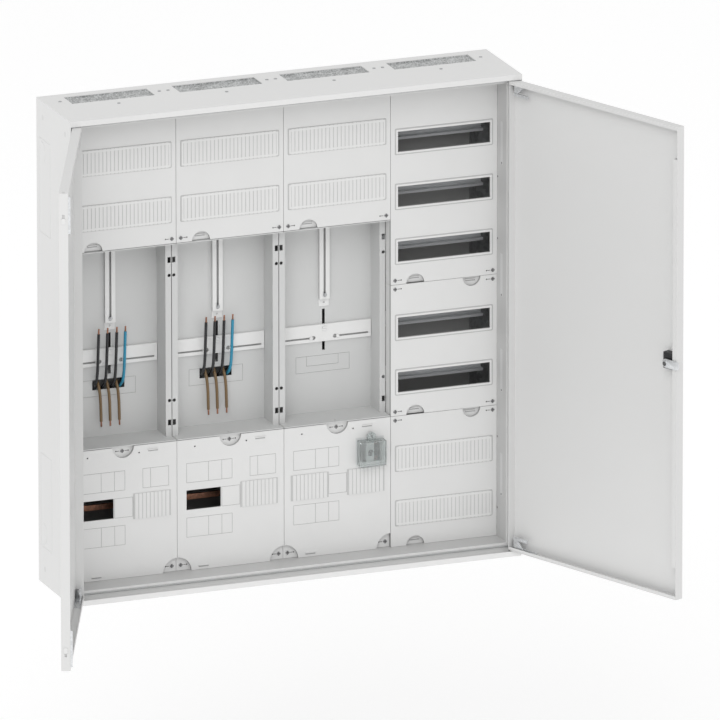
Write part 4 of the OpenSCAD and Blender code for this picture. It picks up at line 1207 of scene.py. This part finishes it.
class CABINET_OT_stage(bpy.types.Operator):
    """Pale floor, soft lamps and the distant camera"""

    bl_idname = "cabinet.stage"
    bl_label = "Stage"

    def execute(self, context):
        s = context.scene.cabinet_stage
        floor_z = CASE_FOOT - s.floor_drop
        shape = bmesh.new()
        bmesh.ops.create_grid(
            shape, x_segments=1, y_segments=1, size=FLOOR_HALF,
            matrix=Matrix.Translation((0, 0, floor_z)),
        )
        f = Finish("floor_white")
        broad = f.noise(2.5, 2.0)
        tone = f.mix(broad, (0.93, 0.93, 0.93), (0.95, 0.95, 0.95))
        f.close(tone, 0.9, Emission_Color=(1, 1, 1, 1), Emission_Strength=0.2)
        from_bmesh("floor", shape, f.material)

        world = bpy.data.worlds.new("studio")
        world.use_nodes = True
        sky = world.node_tree.nodes["Background"]
        sky.inputs["Color"].default_value = (1, 1, 1, 1)
        sky.inputs["Strength"].default_value = s.sky
        context.scene.world = world

        lamp = bpy.data.lights.new("key", "AREA")
        lamp.energy = s.key
        lamp.size = KEY_SIZE
        holder = add_object("key", lamp)
        holder.location = KEY_PLACE
        aim = Vector(KEY_TARGET) - Vector(KEY_PLACE)
        holder.rotation_euler = aim.to_track_quat("-Z", "Y").to_euler()

        camera = bpy.data.cameras.new("camera")
        camera.lens = s.lens
        camera.sensor_width = 36
        camera.clip_start, camera.clip_end = 1.0, 300.0
        holder = add_object("camera", camera)
        turn = Matrix.Identity(4)
        for axis, degrees in CAMERA_TURNS:
            turn = turn @ Matrix.Rotation(math.radians(degrees), 4, axis)
        holder.matrix_world = Matrix.Translation(CAMERA_PLACE) @ turn
        context.scene.camera = holder
        context.scene.view_settings.view_transform = "Standard"
        return {"FINISHED"}


class CABINET_PT_panel(bpy.types.Panel):
    """Lists the steps that finish the cabinet"""

    bl_label = "Meter cabinet"
    bl_idname = "CABINET_PT_panel"
    bl_space_type = "VIEW_3D"
    bl_region_type = "UI"
    bl_category = "Cabinet"

    def draw(self, context):
        for step in STEPS:
            self.layout.operator(step.bl_idname)
        for group in SETTINGS:
            box = self.layout.box()
            settings = getattr(context.scene, group)
            for name in settings.__annotations__:
                box.prop(settings, name)


SETTINGS = {
    "cabinet_finish": FinishSettings,
    "cabinet_leads": LeadSettings,
    "cabinet_detail": DetailSettings,
    "cabinet_stage": StageSettings,
}
STEPS = (
    CABINET_OT_stage,
    CABINET_OT_finishes,
    CABINET_OT_leads,
    CABINET_OT_eased_parts,
    CABINET_OT_bezels,
    CABINET_OT_hood,
    CABINET_OT_seal,
    CABINET_OT_fastener_marks,
    CABINET_OT_lips,
    CABINET_OT_rim_slots,
    CABINET_OT_knockouts,
    CABINET_OT_plate_marks,
)


def register():
    for group in SETTINGS.values():
        bpy.utils.register_class(group)
    for step in (*STEPS, CABINET_PT_panel):
        bpy.utils.register_class(step)
    for name, group in SETTINGS.items():
        setattr(bpy.types.Scene, name, PointerProperty(type=group))


def unregister():
    for name in SETTINGS:
        delattr(bpy.types.Scene, name)
    for step in (CABINET_PT_panel, *reversed(STEPS)):
        bpy.utils.unregister_class(step)
    for group in SETTINGS.values():
        bpy.utils.unregister_class(group)


def main():
    """Runs every step in order."""
    register()
    for step in STEPS:
        family, action = step.bl_idname.split(".")
        getattr(getattr(bpy.ops, family), action)()


if __name__ == "__main__":
    main()
